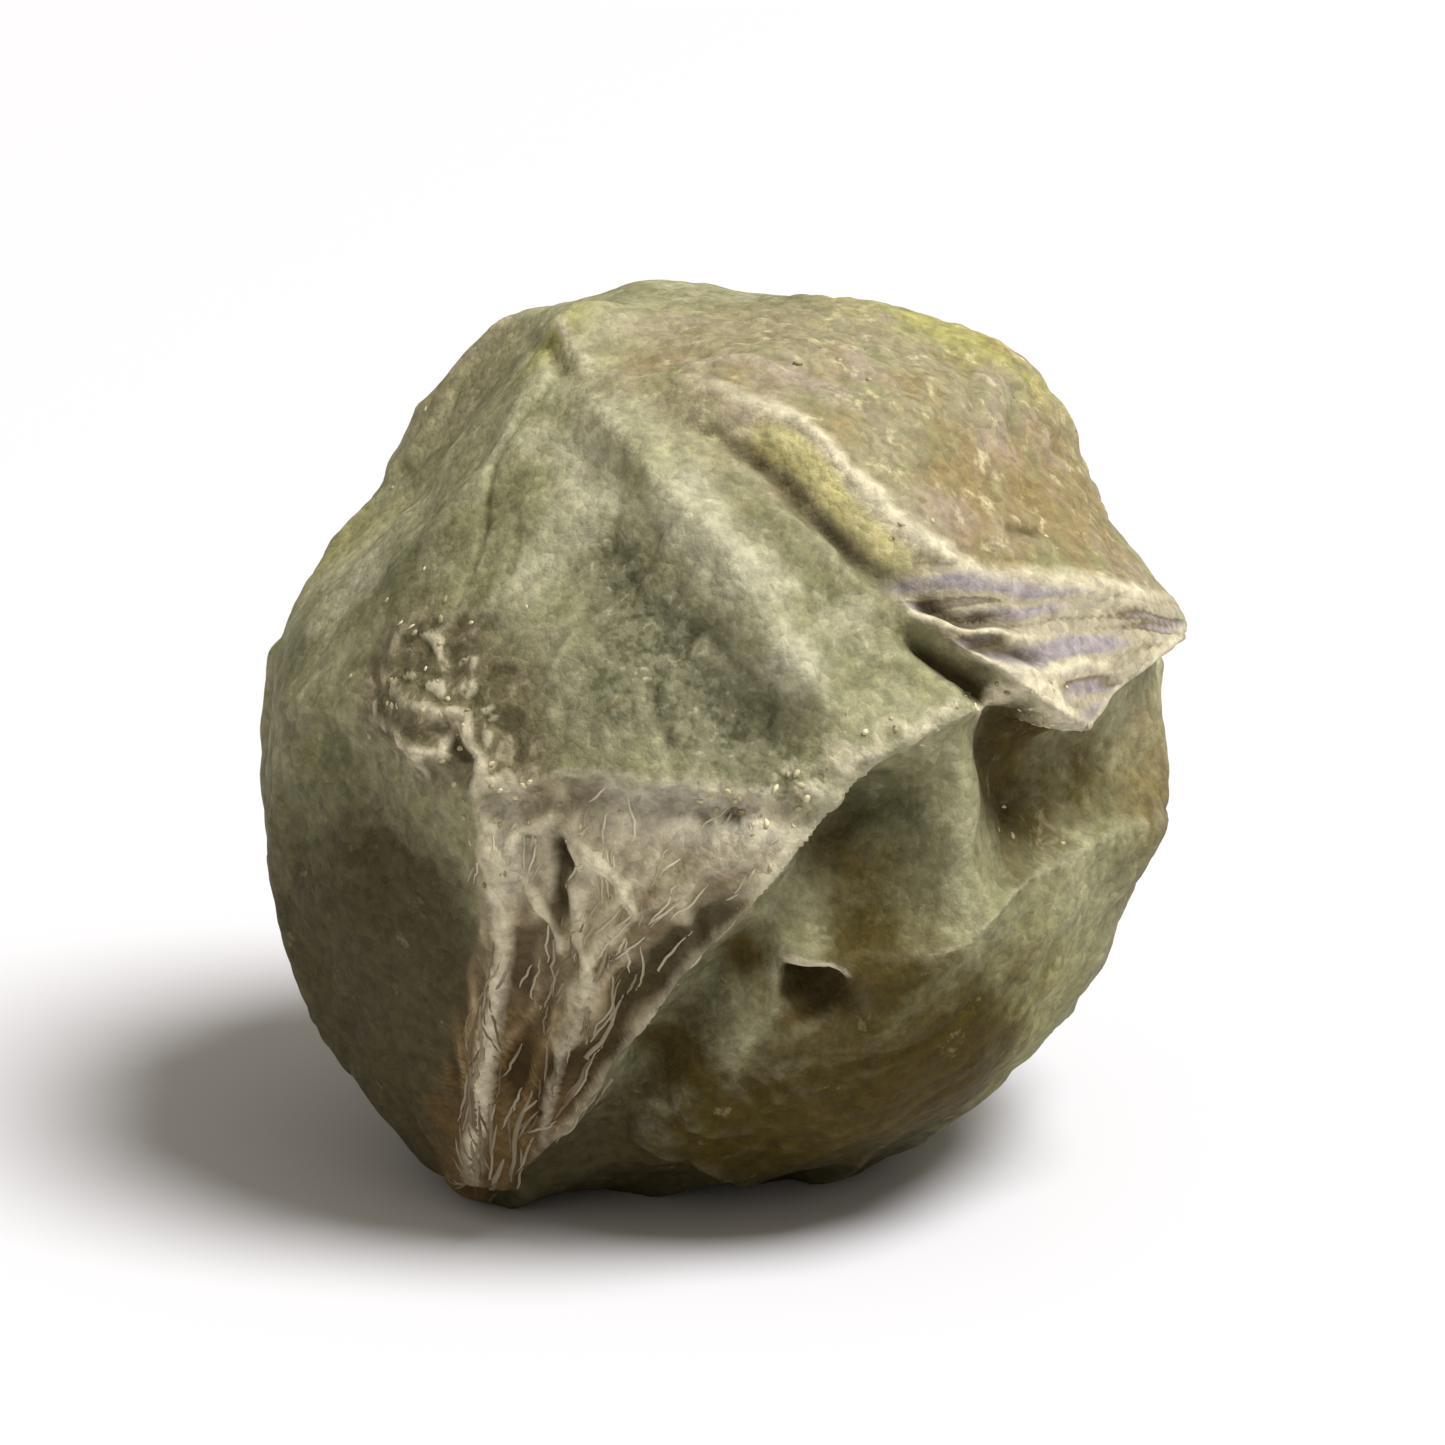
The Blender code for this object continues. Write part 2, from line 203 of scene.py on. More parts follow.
# Thinner creases and ridges, too fine for the solid.
fineFolds = {
    "innerSpine": {
        "route": [(11.5, 9, 0), (4, 5, 0.8), (-3, -0.5, 1), (-10.5, -6.5, 1), (-15, -11.5, 1),
                  (-18.5, -17.5, 1), (-22, -27, 0.8), (-29, -38, 0.3)],
        "height": 0.075, "left": 1.5, "right": 2.4, "sharpness": 1.3, "pale": 0.45, "paleWidth": 0.9,
    },
    "fibreHollow": {
        "route": [(4, 1, 0), (-1, -5.5, 0.9), (-4.5, -9, 1), (-7.5, -12.5, 1), (-10, -15.5, 0.8),
                  (-13.5, -20, 0.6), (-17, -25.5, 0.7), (-20.5, -31, 0.4), (-24, -37, 0)],
        "height": -0.13, "left": 2.4, "right": 2.4, "sharpness": 2, "dark": 1.3, "wobble": 1.2,
    },
    "slantStrand": {
        "route": [(-18, 4, 0), (-15.5, 1, 1), (-13, -1, 1), (-11, -4.5, 1), (-8.5, -7, 0)],
        "height": 0.06, "left": 1.0, "right": 1.0, "wobble": 0.6, "pale": 1,
        "paleWidth": 0.8,
    },
    "shortStrand": {
        "route": [(-25, -1, 0), (-23, -5.5, 1), (-21.5, -8, 1), (-20.5, -10.5, 1), (-21, -14, 0)],
        "height": 0.06, "left": 1.0, "right": 1.1, "wobble": 0.6, "pale": 1,
        "paleWidth": 0.8,
    },
    "lowStrand": {
        "route": [(-17, -17, 0), (-20, -22, 1), (-21, -25.5, 1), (-24, -32.5, 1), (-26, -37.5, 1),
                  (-31, -43, 0)],
        "height": 0.05, "left": 1.1, "right": 1.1, "pale": 0.45,
        "paleWidth": 0.8,
    },
    "middleStrand": {
        "route": [(-18.5, 7, 0), (-17.5, 0.5, 0.8), (-17.5, -5, 1), (-17.5, -10, 1), (-16.5, -16, 0.8),
                  (-20, -25, 0.4), (-27, -36, 0)],
        "height": 0.06, "left": 1.3, "right": 1.5,
        "groove": 0.06, "grooveAt": -2.3, "grooveWidth": 1.1, "grooveSpan": (0.0, 0.5),
        "pale": 1, "paleWidth": 0.9, "dark": 1,
    },
    "fibreArch": {
        "route": [(-28, -3.5, 0), (-27, 0, 1), (-25.5, 3, 1), (-22, 5, 0.9), (-18.5, 6, 0)],
        "height": 0.045, "left": 1.3, "right": 1.3, "pale": 0.95, "paleWidth": 0.9,
    },
    "rootPit": {
        "route": [(-21.5, 4, 0), (-19.7, 1.5, 1), (-18.3, -0.5, 0.9), (-17.6, -3, 0)],
        "height": -0.08, "left": 1.3, "right": 1.3, "sharpness": 2, "dark": 1.3, "wobble": 1.0,
    },
    "tornEdge": {
        "route": [(-52, 16, 0), (-47, 17.5, 0.6), (-41, 16.5, 0.8), (-35, 17, 1), (-32.5, 14.5, 1),
                  (-30.5, 12.5, 1), (-30.5, 9.5, 1), (-28, 8, 0.4)],
        "height": 0.045, "left": 1.8, "right": 1.3, "wobble": 1.2,
        "groove": 0.02, "grooveAt": -2.4, "grooveWidth": 1.4, "grooveSpan": (0.05, 0.95),
        "pale": 0.75, "paleWidth": 1.0, "dark": 0.3,
    },
    "granularRidge": {
        "route": [(32, 18, 0), (37.5, 18.5, 1), (39.5, 20.3, 1), (43, 21, 1), (46, 19, 1), (50, 17, 0.3)],
        "height": 0.05, "left": 2.4, "right": 2.0, "sharpness": 1.5, "wobble": 2.5, "pale": 0.9,
        "paleWidth": 1.8,
    },
    "spineFray": {
        "route": [(8.5, 11.5, 0), (13.5, 14, 1), (19, 16, 1), (25, 17.8, 1), (30.5, 19, 1), (35.5, 20, 0)],
        "height": 0.03, "left": 2.2, "right": 1.4, "wobble": 3, "pale": 0.5,
        "paleWidth": 1.3,
    },
    "lowArc": {
        "route": [(-45.5, 13.5, 0), (-43, 12, 1), (-39.5, 11.5, 1), (-36.5, 11.5, 1), (-34.5, 12.5, 0)],
        "height": 0.035, "left": 1.2, "right": 1.2, "pale": 0.8,
        "paleWidth": 0.9,
    },
    "patchArc": {
        "route": [(-54, 19, 0), (-52, 22.5, 1), (-50.5, 25, 1), (-48, 27, 0.8), (-43, 29.5, 1),
                  (-37.5, 31, 0.9), (-33, 33.5, 0.6), (-28, 37, 0)],
        "height": 0.04, "left": 2.5, "right": 2.2, "sharpness": 1.5, "wobble": 1.6, "pale": 0.3,
        "paleWidth": 1.4,
    },
    "slitUpper": {
        "route": [(29, 33.5, 0.2), (31, 30.5, 1), (35, 28.5, 1), (40, 27, 0.9), (48, 25.5, 0.5),
                  (58, 23, 0)],
        "height": 0.05, "left": 0.9, "right": 1.0, "sharpness": 1.3,
        "groove": 0.09, "grooveAt": 1.7, "grooveWidth": 0.9, "grooveSpan": (0.02, 0.85),
        "pale": 0.9, "paleWidth": 0.5, "dark": 0.6,
    },
    "slitLower": {
        "route": [(31, 28, 0.2), (37, 24.5, 1), (44, 22.5, 1), (54, 21, 0.7), (66, 19.5, 0)],
        "height": 0.045, "left": 0.9, "right": 1.2, "sharpness": 1.3,
        "groove": 0.06, "grooveAt": 1.7, "grooveWidth": 0.8, "grooveSpan": (0.02, 0.7),
        "pale": 0.7, "paleWidth": 0.6, "dark": 0.8,
    },
    "pitFlap": {
        "route": [(8.5, -13, 0), (10.5, -13.2, 0.8), (13, -13.6, 1), (16, -14.4, 0.9), (19, -15.6, 0)],
        "height": 0.06, "left": 1.2, "right": 0.9, "sharpness": 1.2, "wobble": 0.3,
        "groove": 0.15, "grooveAt": -2.1, "grooveWidth": 1.2, "grooveSpan": (0.0, 1.0),
        "pale": 1, "paleWidth": 0.55, "dark": 1,
    },
    "pitHollow": {
        "route": [(9, -16, 0), (12, -17, 1), (16, -17.6, 1), (19.5, -17, 0)],
        "height": -0.09, "left": 2.0, "right": 2.4, "sharpness": 2, "dark": 1.5, "wobble": 1,
    },
    "domeCrease": {
        "route": [(44, 39, 0), (50, 37.5, 0.7), (56, 35.5, 1), (63, 34.5, 0.5), (70, 34, 0)],
        "height": 0.02, "left": 1.5, "right": 2,
        "groove": 0.035, "grooveAt": 1.6, "grooveWidth": 1.1, "grooveSpan": (0.3, 0.8),
        "pale": 0.1, "paleWidth": 0.6, "dark": 0.7,
    },
    "knobCleft": {
        "route": [(-104, 69, 0), (-88, 70.5, 0.8), (-68, 70.5, 1), (-50, 68.5, 0.8), (-38, 65.5, 0)],
        "height": 0.03, "left": 2.4, "right": 1.6, "pale": 0.6, "paleWidth": 0.9,
        "groove": 0.035, "grooveAt": -2.4, "grooveWidth": 1.5, "grooveSpan": (0.25, 0.8), "dark": 0.5,
    },
    "topCrease": {
        "route": [(-70, 66, 0), (-40, 68, 0.8), (-10, 70, 1), (30, 72, 0.7), (60, 68, 0)],
        "height": 0.03, "left": 2.2, "right": 2.6, "pale": 0.3, "paleWidth": 0.9,
    },
}

# Wrinkles of the back and the underside: ridges round dished cells. Heights and the cell are in mm.
# Warps are how far the cells are pushed about and how fast that changes, stemClear is in radians.
wrinkles = {
    "height": 0.17, "cell": 1.25, "crest": 0.16, "sharpness": 1.35, "sunk": 0.40, "drawnOut": 0.4,
    "warps": [(0.30, 1.6), (0.06, 5)], "unevenness": 3.1, "stemClear": 0.35, "seed": 1796071527,
}
noise.seed_set(wrinkles["seed"])  # noise_vector takes its offsets from the clock otherwise

# The fine relief of dried skin, in mm: heights and the sizes they repeat at.
fineRelief = {
    "lumpHeight": 0.050, "lumpSize": 0.55,
    "creaseHeight": 0.034, "creaseSize": 0.62, "creaseWidth": 0.09,
    "wrinkleHeight": 0.016, "wrinkleSize": 0.21,
    "grainHeight": 0.006, "grainSize": 0.075,
    "strandHeight": 0.040, "flapHeight": 0.034,
    "crinkleHeight": 0.019, "crinkleSize": 0.22,
    "pimpleHeight": 0.016, "pimpleSize": 0.13,
    "scarRing": 0.05, "scarAt": 4, "scarDepth": 0.09, "scarReach": 2.6,   # the ring's places in degrees
    "warp": 0.20, "warpSize": 0.9, "bend": 0.12, "bendSize": 0.3, "drawnOut": 0.45,
    "patchSize": 1.3, "rimWidth": 0.15, "crumbSize": 0.12, "gapSize": 0.5,
}

# Where the skin changes colour, with painted shade and painted highlight in some zones: longitude, latitude,
# reach in degrees, strength.
colourZones = {
    "tan": [(60, 50, 24, 1), (34, 68, 16, 0.9), (95, 52, 18, 0.8), (0, 76, 13, 0.9), (70, 38, 14, 0.8),
            (180, 20, 30, 0.5), (-140, 40, 18, 0.6)],
    "ochre": [(58, 38, 11, 1), (74, 36, 10, 0.9), (50, 44, 8, 0.5), (88, 40, 10, 0.6), (78, 0, 10, 0.6),
              (170, -20, 18, 0.5)],
    "yellow": [(-84, 69, 6, 1), (118, 66, 9, 0.5), (108, 58, 9, 0.6), (103, 49, 8, 0.7), (45, -32, 18, 0.6),
               (150, -10, 20, 0.6), (-110, 20, 14, 0.4)],
    "teal": [(-8, 31, 8, 1), (3, 18, 8, 1), (-18, 40, 6, 0.9), (-60, 38, 9, 0.35), (-14, 22, 8, 0.6),
             (-160, -10, 22, 0.5)],
    # Pale: a greyish bloom, with painted highlights where the front field's ridges face the light
    "pale": [(-4, 47, 5, 1), (4, 38, 6, 0.8), (20, 30, 7, 0.25), (11, 26, 3.5, 1), (-30, 58, 8, 0.5),
             (-24, 47, 6, 0.5), (-78, 28, 9, 0.6), (-32, 36, 6, 0.5)],
    "veil": [(-12, 9, 5, 0.8), (-3, 9, 6, 1), (6, 8, 5, 0.8), (-28, 4, 4, 0.9), (-26, -2, 4, 0.7)],
    # Brown: browner skin, and painted shade in the cavities, in the pit and under the flap
    "brown": [(21, -3, 7, 0.6), (43, 12, 5, 1), (48, 11, 6, 0.8), (50, 4, 11, 0.6), (14, -18, 5, 1),
              (74, -6, 10, 0.6), (10, -38, 14, 0.5), (30, -32, 18, 0.7), (165, 45, 14, 0.6),
              (-150, -40, 24, 0.5)],
    # Shade: painted shade over darker skin, at the lower left and on the underside
    "shade": [(-76, -8, 20, 0.25), (-47, -5, 13, 0.5), (-40, -19, 11, 0.7), (-58, -30, 18, 0.8),
              (-72, -50, 28, 1), (0, -64, 32, 0.9), (34, -40, 14, 0.8), (-110, -38, 28, 0.6),
              (120, -50, 30, 0.4)],
    # Deep olive-gold skin with painted shade, on the low bulge, under the flap and in the cavities
    "oliveGoldAndShade": [(34, -30, 14, 1), (21, -13, 6, 0.9), (47, 12, 6, 1), (4, -14, 4, 0.8), (-6, -30, 5, 0.8),
             (8, -44, 14, 0.9), (62, 2, 7, 0.6), (50, -1, 7, 0.5)],
    "fleck": [(-44, 22, 8, 1), (-33, 20, 7, 1), (-38, 14, 6, 1), (-48, 17, 7, 0.9), (-26, 14, 5, 0.8),
              (-24, 7, 4, 0.7)],
    "granule": [(-44, 16, 5, 0.6), (-35, 16, 4, 0.8), (-30, 11, 4, 0.9), (-42, 24, 8, 0.5),
                (-50, 17, 5, 0.5), (11, 12, 4, 1),
                (2, 9, 4, 0.9), (6, 8, 4, 0.7), (17, 13, 3, 1), (20, 17, 3, 0.45), (27, 18.5, 3, 0.5),
                (33, 20, 3, 0.6), (36, 19.5, 3, 1), (42, 20, 3, 1), (48, 17, 3, 1), (38, 72, 7, 0.2),
                (33, 43, 3, 0.4), (60, 37, 4, 0.2), (52, -3, 6, 0.5), (-26, 3, 6, 0.7), (-20, 9, 6, 0.4),
                (150, 30, 14, 0.2), (-130, 40, 12, 0.2), (-150, -5, 12, 0.2)],
    "grainy": [(60, 52, 24, 1), (90, 48, 18, 1), (30, 66, 12, 0.7)],
}


def aim(place):
    # The direction from the middle of the berry to a place on it
    lon, lat = (math.radians(angle) for angle in place)
    return np.array((math.sin(lon) * math.cos(lat), -math.cos(lon) * math.cos(lat), math.sin(lat)))


def smoothRoute(route, steps=8):
    # Catmull-Rom through the points, each with its rise as a fourth number
    knots = [np.append(aim(point[:2]), point[2]) for point in route]
    knots = [2 * knots[0] - knots[1]] + knots + [2 * knots[-1] - knots[-2]]
    line = []
    for before, start, end, after in zip(knots, knots[1:], knots[2:], knots[3:]):
        for t in np.arange(steps) / steps:
            line.append(0.5 * (2 * start + (end - before) * t
                               + (2 * before - 5 * start + 4 * end - after) * t ** 2
                               + (3 * start - before - 3 * end + after) * t ** 3))
    line = np.array(line + [knots[-2]])
    line[:, :3] /= np.linalg.norm(line[:, :3], axis=1, keepdims=True)
    return line


def acrossRoute(aims, line):
    # Degrees to the route (left is positive), its rise, how far along it, and the way to its left
    nearest = np.full(len(aims), np.inf)
    signed, rise, along = np.zeros((3, len(aims)))
    leftward = np.zeros((len(aims), 3))
    for number, (start, end) in enumerate(zip(line, line[1:])):
        chord = end[:3] - start[:3]
        t = np.clip(((aims - start[:3]) @ chord) / (chord @ chord), 0, 1)
        gap = np.linalg.norm(aims - start[:3] - t[:, None] * chord, axis=1)
        left = np.cross(start[:3], chord)
        left /= np.linalg.norm(left)
        closer = gap < nearest
        nearest[closer] = gap[closer]
        signed[closer] = (np.degrees(gap) * np.where(aims @ left > 0, 1, -1))[closer]
        rise[closer] = (start[3] + t * (end[3] - start[3]))[closer]
        along[closer] = ((number + t) / (len(line) - 1))[closer]
        leftward[closer] = left
    return signed, np.maximum(rise, 0), along, leftward


def smoothStep(value, low, high):
    t = np.clip((value - low) / (high - low), 0, 1)
    return t * t * (3 - 2 * t)


def angleTo(aims, place):
    return np.degrees(np.arccos(np.clip(aims @ aim(place), -1, 1)))


def zoneMask(aims, zones):
    return np.clip(sum(strength * np.exp(-(angleTo(aims, (lon, lat)) / reach) ** 2)
                       for lon, lat, reach, strength in zones), 0, 1)


def noiseAt(places, size, offset=0.0):
    # Smooth noise from -1 to 1 whose bumps are about this many mm across; each offset is a new pattern
    shift = Vector((offset, offset * 0.7, -offset))
    return np.array([noise.noise(Vector(place) / size + shift) for place in places])


def pushAt(points, reach, size):
    # A smooth push to any side, in mm, that changes over about this size
    return reach * np.array([noise.noise_vector(Vector(point) / size) for point in points])


def addFold(fold, aims, points, shares, wander):
    # Raises one fold, sinks its groove, and notes its pale crest and the painted shade of its groove
    fold = plainFold | fold
    signed, rise, along, leftward = acrossRoute(aims, smoothRoute(fold["route"]))
    signed = signed + fold["wobble"] * wander
    width = np.where(signed > 0, fold["left"], fold["right"])
    profile = rise * np.exp(-(np.abs(signed) / width) ** fold["sharpness"])
    lift = fold["height"] * profile
    if "groove" in fold:
        low, high = fold["grooveSpan"]
        fade = 0.35 * (high - low)
        present = smoothStep(along, low, low + fade) * (1 - smoothStep(along, high - fade, high))
        sunk = present * np.exp(-((signed - fold["grooveAt"]) / fold["grooveWidth"]) ** 2)
        lift = lift - fold["groove"] * sunk
        shares["creviceShade"] = np.maximum(shares["creviceShade"], fold["dark"] * sunk)
    points += aims * lift[:, None] + fold["lean"] * profile[:, None] * leftward
    if fold["height"] < 0:
        shares["creviceShade"] = np.maximum(shares["creviceShade"], fold["dark"] * profile)
    crest = np.minimum(rise, 1) * np.exp(-(signed / fold["paleWidth"]) ** 2)
    shares["crest"] = np.maximum(shares["crest"], fold["pale"] * crest)


def berryForm(aims):
    # The main form in mm, with the pale share of each crest and the painted-shade share of each groove
    radius = berry["radius"] + sum(
        height * np.exp(-(angleTo(aims, (lon, lat)) / reach) ** 2) for lon, lat, reach, height in swellings)
    radius += np.array([sum(height * noise.noise(Vector(a) * number) for height, number in berry["lumps"])
                        for a in aims])
    radius += wrinkleHeights(aims)
    points = aims * radius[:, None]
    shares = {"crest": np.zeros(len(aims)), "creviceShade": np.zeros(len(aims))}
    wander = noiseAt(aims, wobbleLength)
    for fold in folds.values():
        addFold(fold, aims, points, shares, wander)
    return points, shares


def wrinkleHeights(aims):
    heights = np.zeros(len(aims))
    cell = wrinkles["cell"] / berry["radius"]
    stem = Vector(aim(berry["stemEnd"]))
    for number, direction in enumerate(aims):
        place = Vector(direction)
        warped = place - wrinkles["drawnOut"] * place.dot(stem) * stem
        for push, quickness in wrinkles["warps"]:
            warped = warped + push * noise.noise_vector(place * quickness)
        first, second = noise.voronoi(warped / cell)[0][:2]
        uneven = 0.75 + 0.5 * noise.noise(place * wrinkles["unevenness"])
        ridge = math.exp(-((second - first) / wrinkles["crest"]) ** wrinkles["sharpness"])
        heights[number] = uneven * ridge - wrinkles["sunk"]
    behind = smoothStep(-aims @ aim(berry["frontView"]), 0.05, 0.5)
    below = 0.6 * smoothStep(-aims[:, 2], 0.45, 0.8)
    stemGap = np.arccos(np.clip(aims @ np.array(stem), -1, 1))
    awayFromStem = 1 - np.exp(-(stemGap / wrinkles["stemClear"]) ** 2)
    return wrinkles["height"] * heights * np.maximum(behind, below) * awayFromStem


def roundedCube(name, segments):
    # A cube cut into even squares and blown up to a sphere, so that no face is far from square
    shape = bmesh.new()
    bmesh.ops.create_cube(shape, size=2)
    bmesh.ops.subdivide_edges(shape, edges=shape.edges[:], cuts=segments - 1, use_grid_fill=True)
    front = Vector(aim(berry["frontView"]))
    for vertex in shape.verts:
        even = Vector(math.tan(c * math.pi / 4) for c in vertex.co).normalized()
        vertex.co = (even + berry["frontDetail"] * front).normalized()
    mesh = bpy.data.meshes.new(name)
    shape.to_mesh(mesh)
    shape.free()
    return mesh


def readVectors(items, field, count):
    values = np.empty(count * 3, np.float32)
    items.foreach_get(field, values)
    return values.reshape(-1, 3).astype(float)


def linkPiece(name, data):
    piece = bpy.data.objects.new(name, data)
    bpy.context.scene.collection.objects.link(piece)
    return piece


def storeShare(mesh, name, values):
    layer = mesh.attributes.new(name, "FLOAT", "POINT")
    layer.data.foreach_set("value", np.asarray(values, np.float32))


def polarRound(aims, place):
    # Turn about a place on the berry and distance from it, both in degrees
    pole = aim(place)
    east = np.cross((0, 0, 1), pole)
    east /= np.linalg.norm(east)
    north = np.cross(pole, east)
    return np.degrees(np.arctan2(aims @ north, aims @ east)), angleTo(aims, place)


# The fibrous patch: its left border down to the stem end, and where it fades, in degrees.
fibrePatch = {
    "border": [(-31, 12, 1), (-30, 4, 1), (-30, -4, 1), (-33, -14, 1), (-38, -26, 1), (-47, -42, 1),
               (-56, -54, 1)],
    "middle": (-22, -20), "fade": (38, 46), "tornBy": 2.5,
}


def fibreShare(aims, torn):
    # The fibrous three-cornered patch, between the crease, the left border and the front spine
    creaseSide = acrossRoute(aims, smoothRoute(folds["fibreCrease"]["route"]))[0]
    belowCrease = smoothStep(-creaseSide + 2.2 * torn, -2.5, 2.0)
    spineSide = acrossRoute(aims, smoothRoute(folds["frontSpine"]["route"]))[0]
    borderSide = acrossRoute(aims, smoothRoute(fibrePatch["border"]))[0]
    inside = (smoothStep(-spineSide, -1.5, 1)
              * smoothStep(borderSide + fibrePatch["tornBy"] * torn, -2.5, 2.5))
    lower = np.maximum(belowCrease, smoothStep(-aims[:, 2], -0.05, 0.05))
    return inside * lower * (1 - smoothStep(angleTo(aims, fibrePatch["middle"]), *fibrePatch["fade"]))


# The papery flap: its middle, where it fades, and the place that its streaks run to.
flapPatch = {"middle": (62, 24), "fade": (28, 33), "tip": (96, 12)}


def flapShares(aims):
    # The papery flap, and the bright band that runs down beside the collar's crest to reach it
    side, _, along = acrossRoute(aims, smoothRoute(folds["collar"]["route"]))[:3]
    edgeSide = acrossRoute(aims, smoothRoute(folds["flapEdge"]["route"]))[0]
    band = (smoothStep(-side, 0.8, 1.8) * (1 - smoothStep(-side, 3.8, 5.4))
            * smoothStep(along, 0.18, 0.32) * (1 - smoothStep(along, 0.62, 0.72)))
    flap = (smoothStep(-side, -0.5, 1.5) * smoothStep(edgeSide, -1.2, 0.4)
            * (1 - smoothStep(angleTo(aims, flapPatch["middle"]), *flapPatch["fade"])))
    return flap * (1 - band), band


def shelter(mesh, points, normals, reach=0.9, rays=14, clearance=0.02, seed=4):
    # How enclosed each point is, from 0 in the open to 1 deep in a fold, by looking outward from it
    faces = [tuple(face.vertices) for face in mesh.polygons]
    skinTree = BVHTree.FromPolygons([Vector(p) for p in points], faces)
    draw = np.random.default_rng(seed)
    tilt = np.sqrt((np.arange(rays) + 0.5) / rays)
    spin = np.arange(rays) * math.pi * (3 - math.sqrt(5))
    local = np.column_stack((tilt * np.cos(spin), tilt * np.sin(spin), np.sqrt(1 - tilt ** 2)))
    blocked = np.zeros(len(points))
    turns = draw.random(len(points)) * 2 * math.pi
    for number, (point, normal, turn) in enumerate(zip(points, normals, turns)):
        side = np.cross(normal, (math.cos(turn), math.sin(turn), 0.31))
        side /= np.linalg.norm(side)
        rayAims = local @ np.array((side, np.cross(normal, side), normal))
        start = Vector(point + normal * clearance)
        for rayAim in rayAims:
            gap = skinTree.ray_cast(start, Vector(rayAim), reach)[3]
            if gap is not None:
                blocked[number] += 1 - 0.6 * gap / reach
    return blocked / rays


def addNode(tree, kind, inputs=None, stops=None, give=0, **settings):
    # Adds a node with its settings and links, and gives back one of its outputs, or all for None
    node = tree.nodes.new(kind)
    for name, value in settings.items():
        setattr(node, name, value)
    for socket, value in (inputs or {}).items():
        if isinstance(value, bpy.types.NodeSocket):
            tree.links.new(value, node.inputs[socket])
        else:
            node.inputs[socket].default_value = value
    if stops:
        ramp = node.color_ramp
        while len(ramp.elements) < len(stops):
            ramp.elements.new(0.5)
        for element, (position, colour) in zip(ramp.elements, stops):
            element.position = position
            element.color = colour
    return node.outputs if give is None or not node.outputs else node.outputs[give]


def fromHex(code):
    # An sRGB colour as linear red, green and blue, with an alpha of 1
    channels = [int(code[i:i + 2], 16) / 255 for i in (1, 3, 5)]
    return [c / 12.92 if c <= 0.04045 else ((c + 0.055) / 1.055) ** 2.4 for c in channels] + [1]


def perMm(size):
    # Texture scale for bumps of this size on Object coordinates, which are in metres
    return 1 / (size * mm)


skinColours = {
    "deepGreen": "#6b6a4a", "green": "#888664", "paleGreen": "#a09e7e", "bloomAndHighlight": "#afac92",
    "tealGrey": "#6d6b53", "tan": "#8b8265", "ochre": "#83724d", "yellowGreen": "#9c9858",
    "brown": "#5a4c24", "shade": "#453e26", "fleckGround": "#675e46", "speck": "#3c3a22",
    "cream": "#c8bfa3", "fibrePale": "#a99e81", "fibreMid": "#7d6e52", "fibreDeep": "#3a2a10",
    "fibreBrown": "#695532", "fibreTan": "#93805a", "lilac": "#8d8585", "paperShade": "#6d6148",
    "paperPale": "#9f967f", "creviceShade": "#3d341a",
    "band": "#cdc48a", "veil": "#b7b19d", "oliveGoldAndShade": "#44380b",
    "flushOchre": "#7f6d40", "flushGreen": "#7f7f59", "flushMauve": "#98887a", "flushStraw": "#bcb48f",
}

# Noises of the skin: the size of their bumps in mm, detail, roughness and distortion. The skin's own
# cells measure about 0.03 mm, and are drawn at cellSize so that they show.
skinNoises = {
    "blotch": (0.8, 6, 0.66, 0.4), "ragged": (0.26, 5, 0.72, 0), "flushWide": (0.62, 4, 0.65, 0),
    "flush": (0.5, 4, 0.65, 0), "flushSmall": (0.36, 4, 0.65, 0), "flushFine": (0.17, 4, 0.65, 0),
    "peeling": (0.15, 3, 0.65, 0.6), "specks": (0.1, 2, 0.8, 0), "mottle": (0.085, 4, 0.75, 0),
    "pores": (0.035, 4, 0.7, 0),
}
cellSize = 0.055

skinRamps = {
    "ground": [(0.34, "deepGreen"), (0.50, "green"), (0.68, "paleGreen")],
    "upperFibres": [(0.28, "fibreMid"), (0.54, "fibrePale"), (0.76, "cream")],
    "lowerFibres": [(0.30, "fibreDeep"), (0.54, "fibreBrown"), (0.78, "fibreTan")],
    "papery": [(0.18, "paperPale"), (0.30, "lilac"), (0.42, "paperShade"), (0.52, "paperPale"),
               (0.66, "paperPale"), (0.84, "lilac")],
}

# Each zone's colour, and how much of it shows at most.
zoneTints = {
    "teal": ("tealGrey", 0.8), "tan": ("tan", 0.9), "ochre": ("ochre", 0.75),
    "yellow": ("yellowGreen", 0.8), "brown": ("brown", 0.9), "shade": ("shade", 0.95),
    "oliveGoldAndShade": ("oliveGoldAndShade", 0.95), "pale": ("bloomAndHighlight", 0.8), "fleck": ("fleckGround", 0.8), "band": ("band", 0.95),
}

# Spots inside a zone: their noise, where it starts and is full, how much shows at most, and the colour.
zoneSpots = {
    "tan": [("flush", 0.48, 0.68, 0.6, "flushOchre"), ("flushSmall", 0.50, 0.64, 0.7, "flushGreen"),
            ("flushWide", 0.50, 0.64, 0.7, "flushMauve"), ("flushFine", 0.58, 0.72, 0.7, "flushStraw")],
    "peeled": [("peeling", 0.47, 0.38, 0.6, "speck"), ("peeling", 0.54, 0.66, 0.8, "fibrePale")],
    "teal": [("specks", 0.50, 0.38, 0.6, "speck"), ("specks", 0.60, 0.68, 0.6, "bloomAndHighlight")],
}


def newFinish(name):
    # An empty material, what adds nodes to it, and the place that its patterns read
    material = bpy.data.materials.new(name)
    material.use_nodes = True
    material.node_tree.nodes.clear()
    add = partial(addNode, material.node_tree)
    return material, add, add("ShaderNodeTexCoord", give="Object")


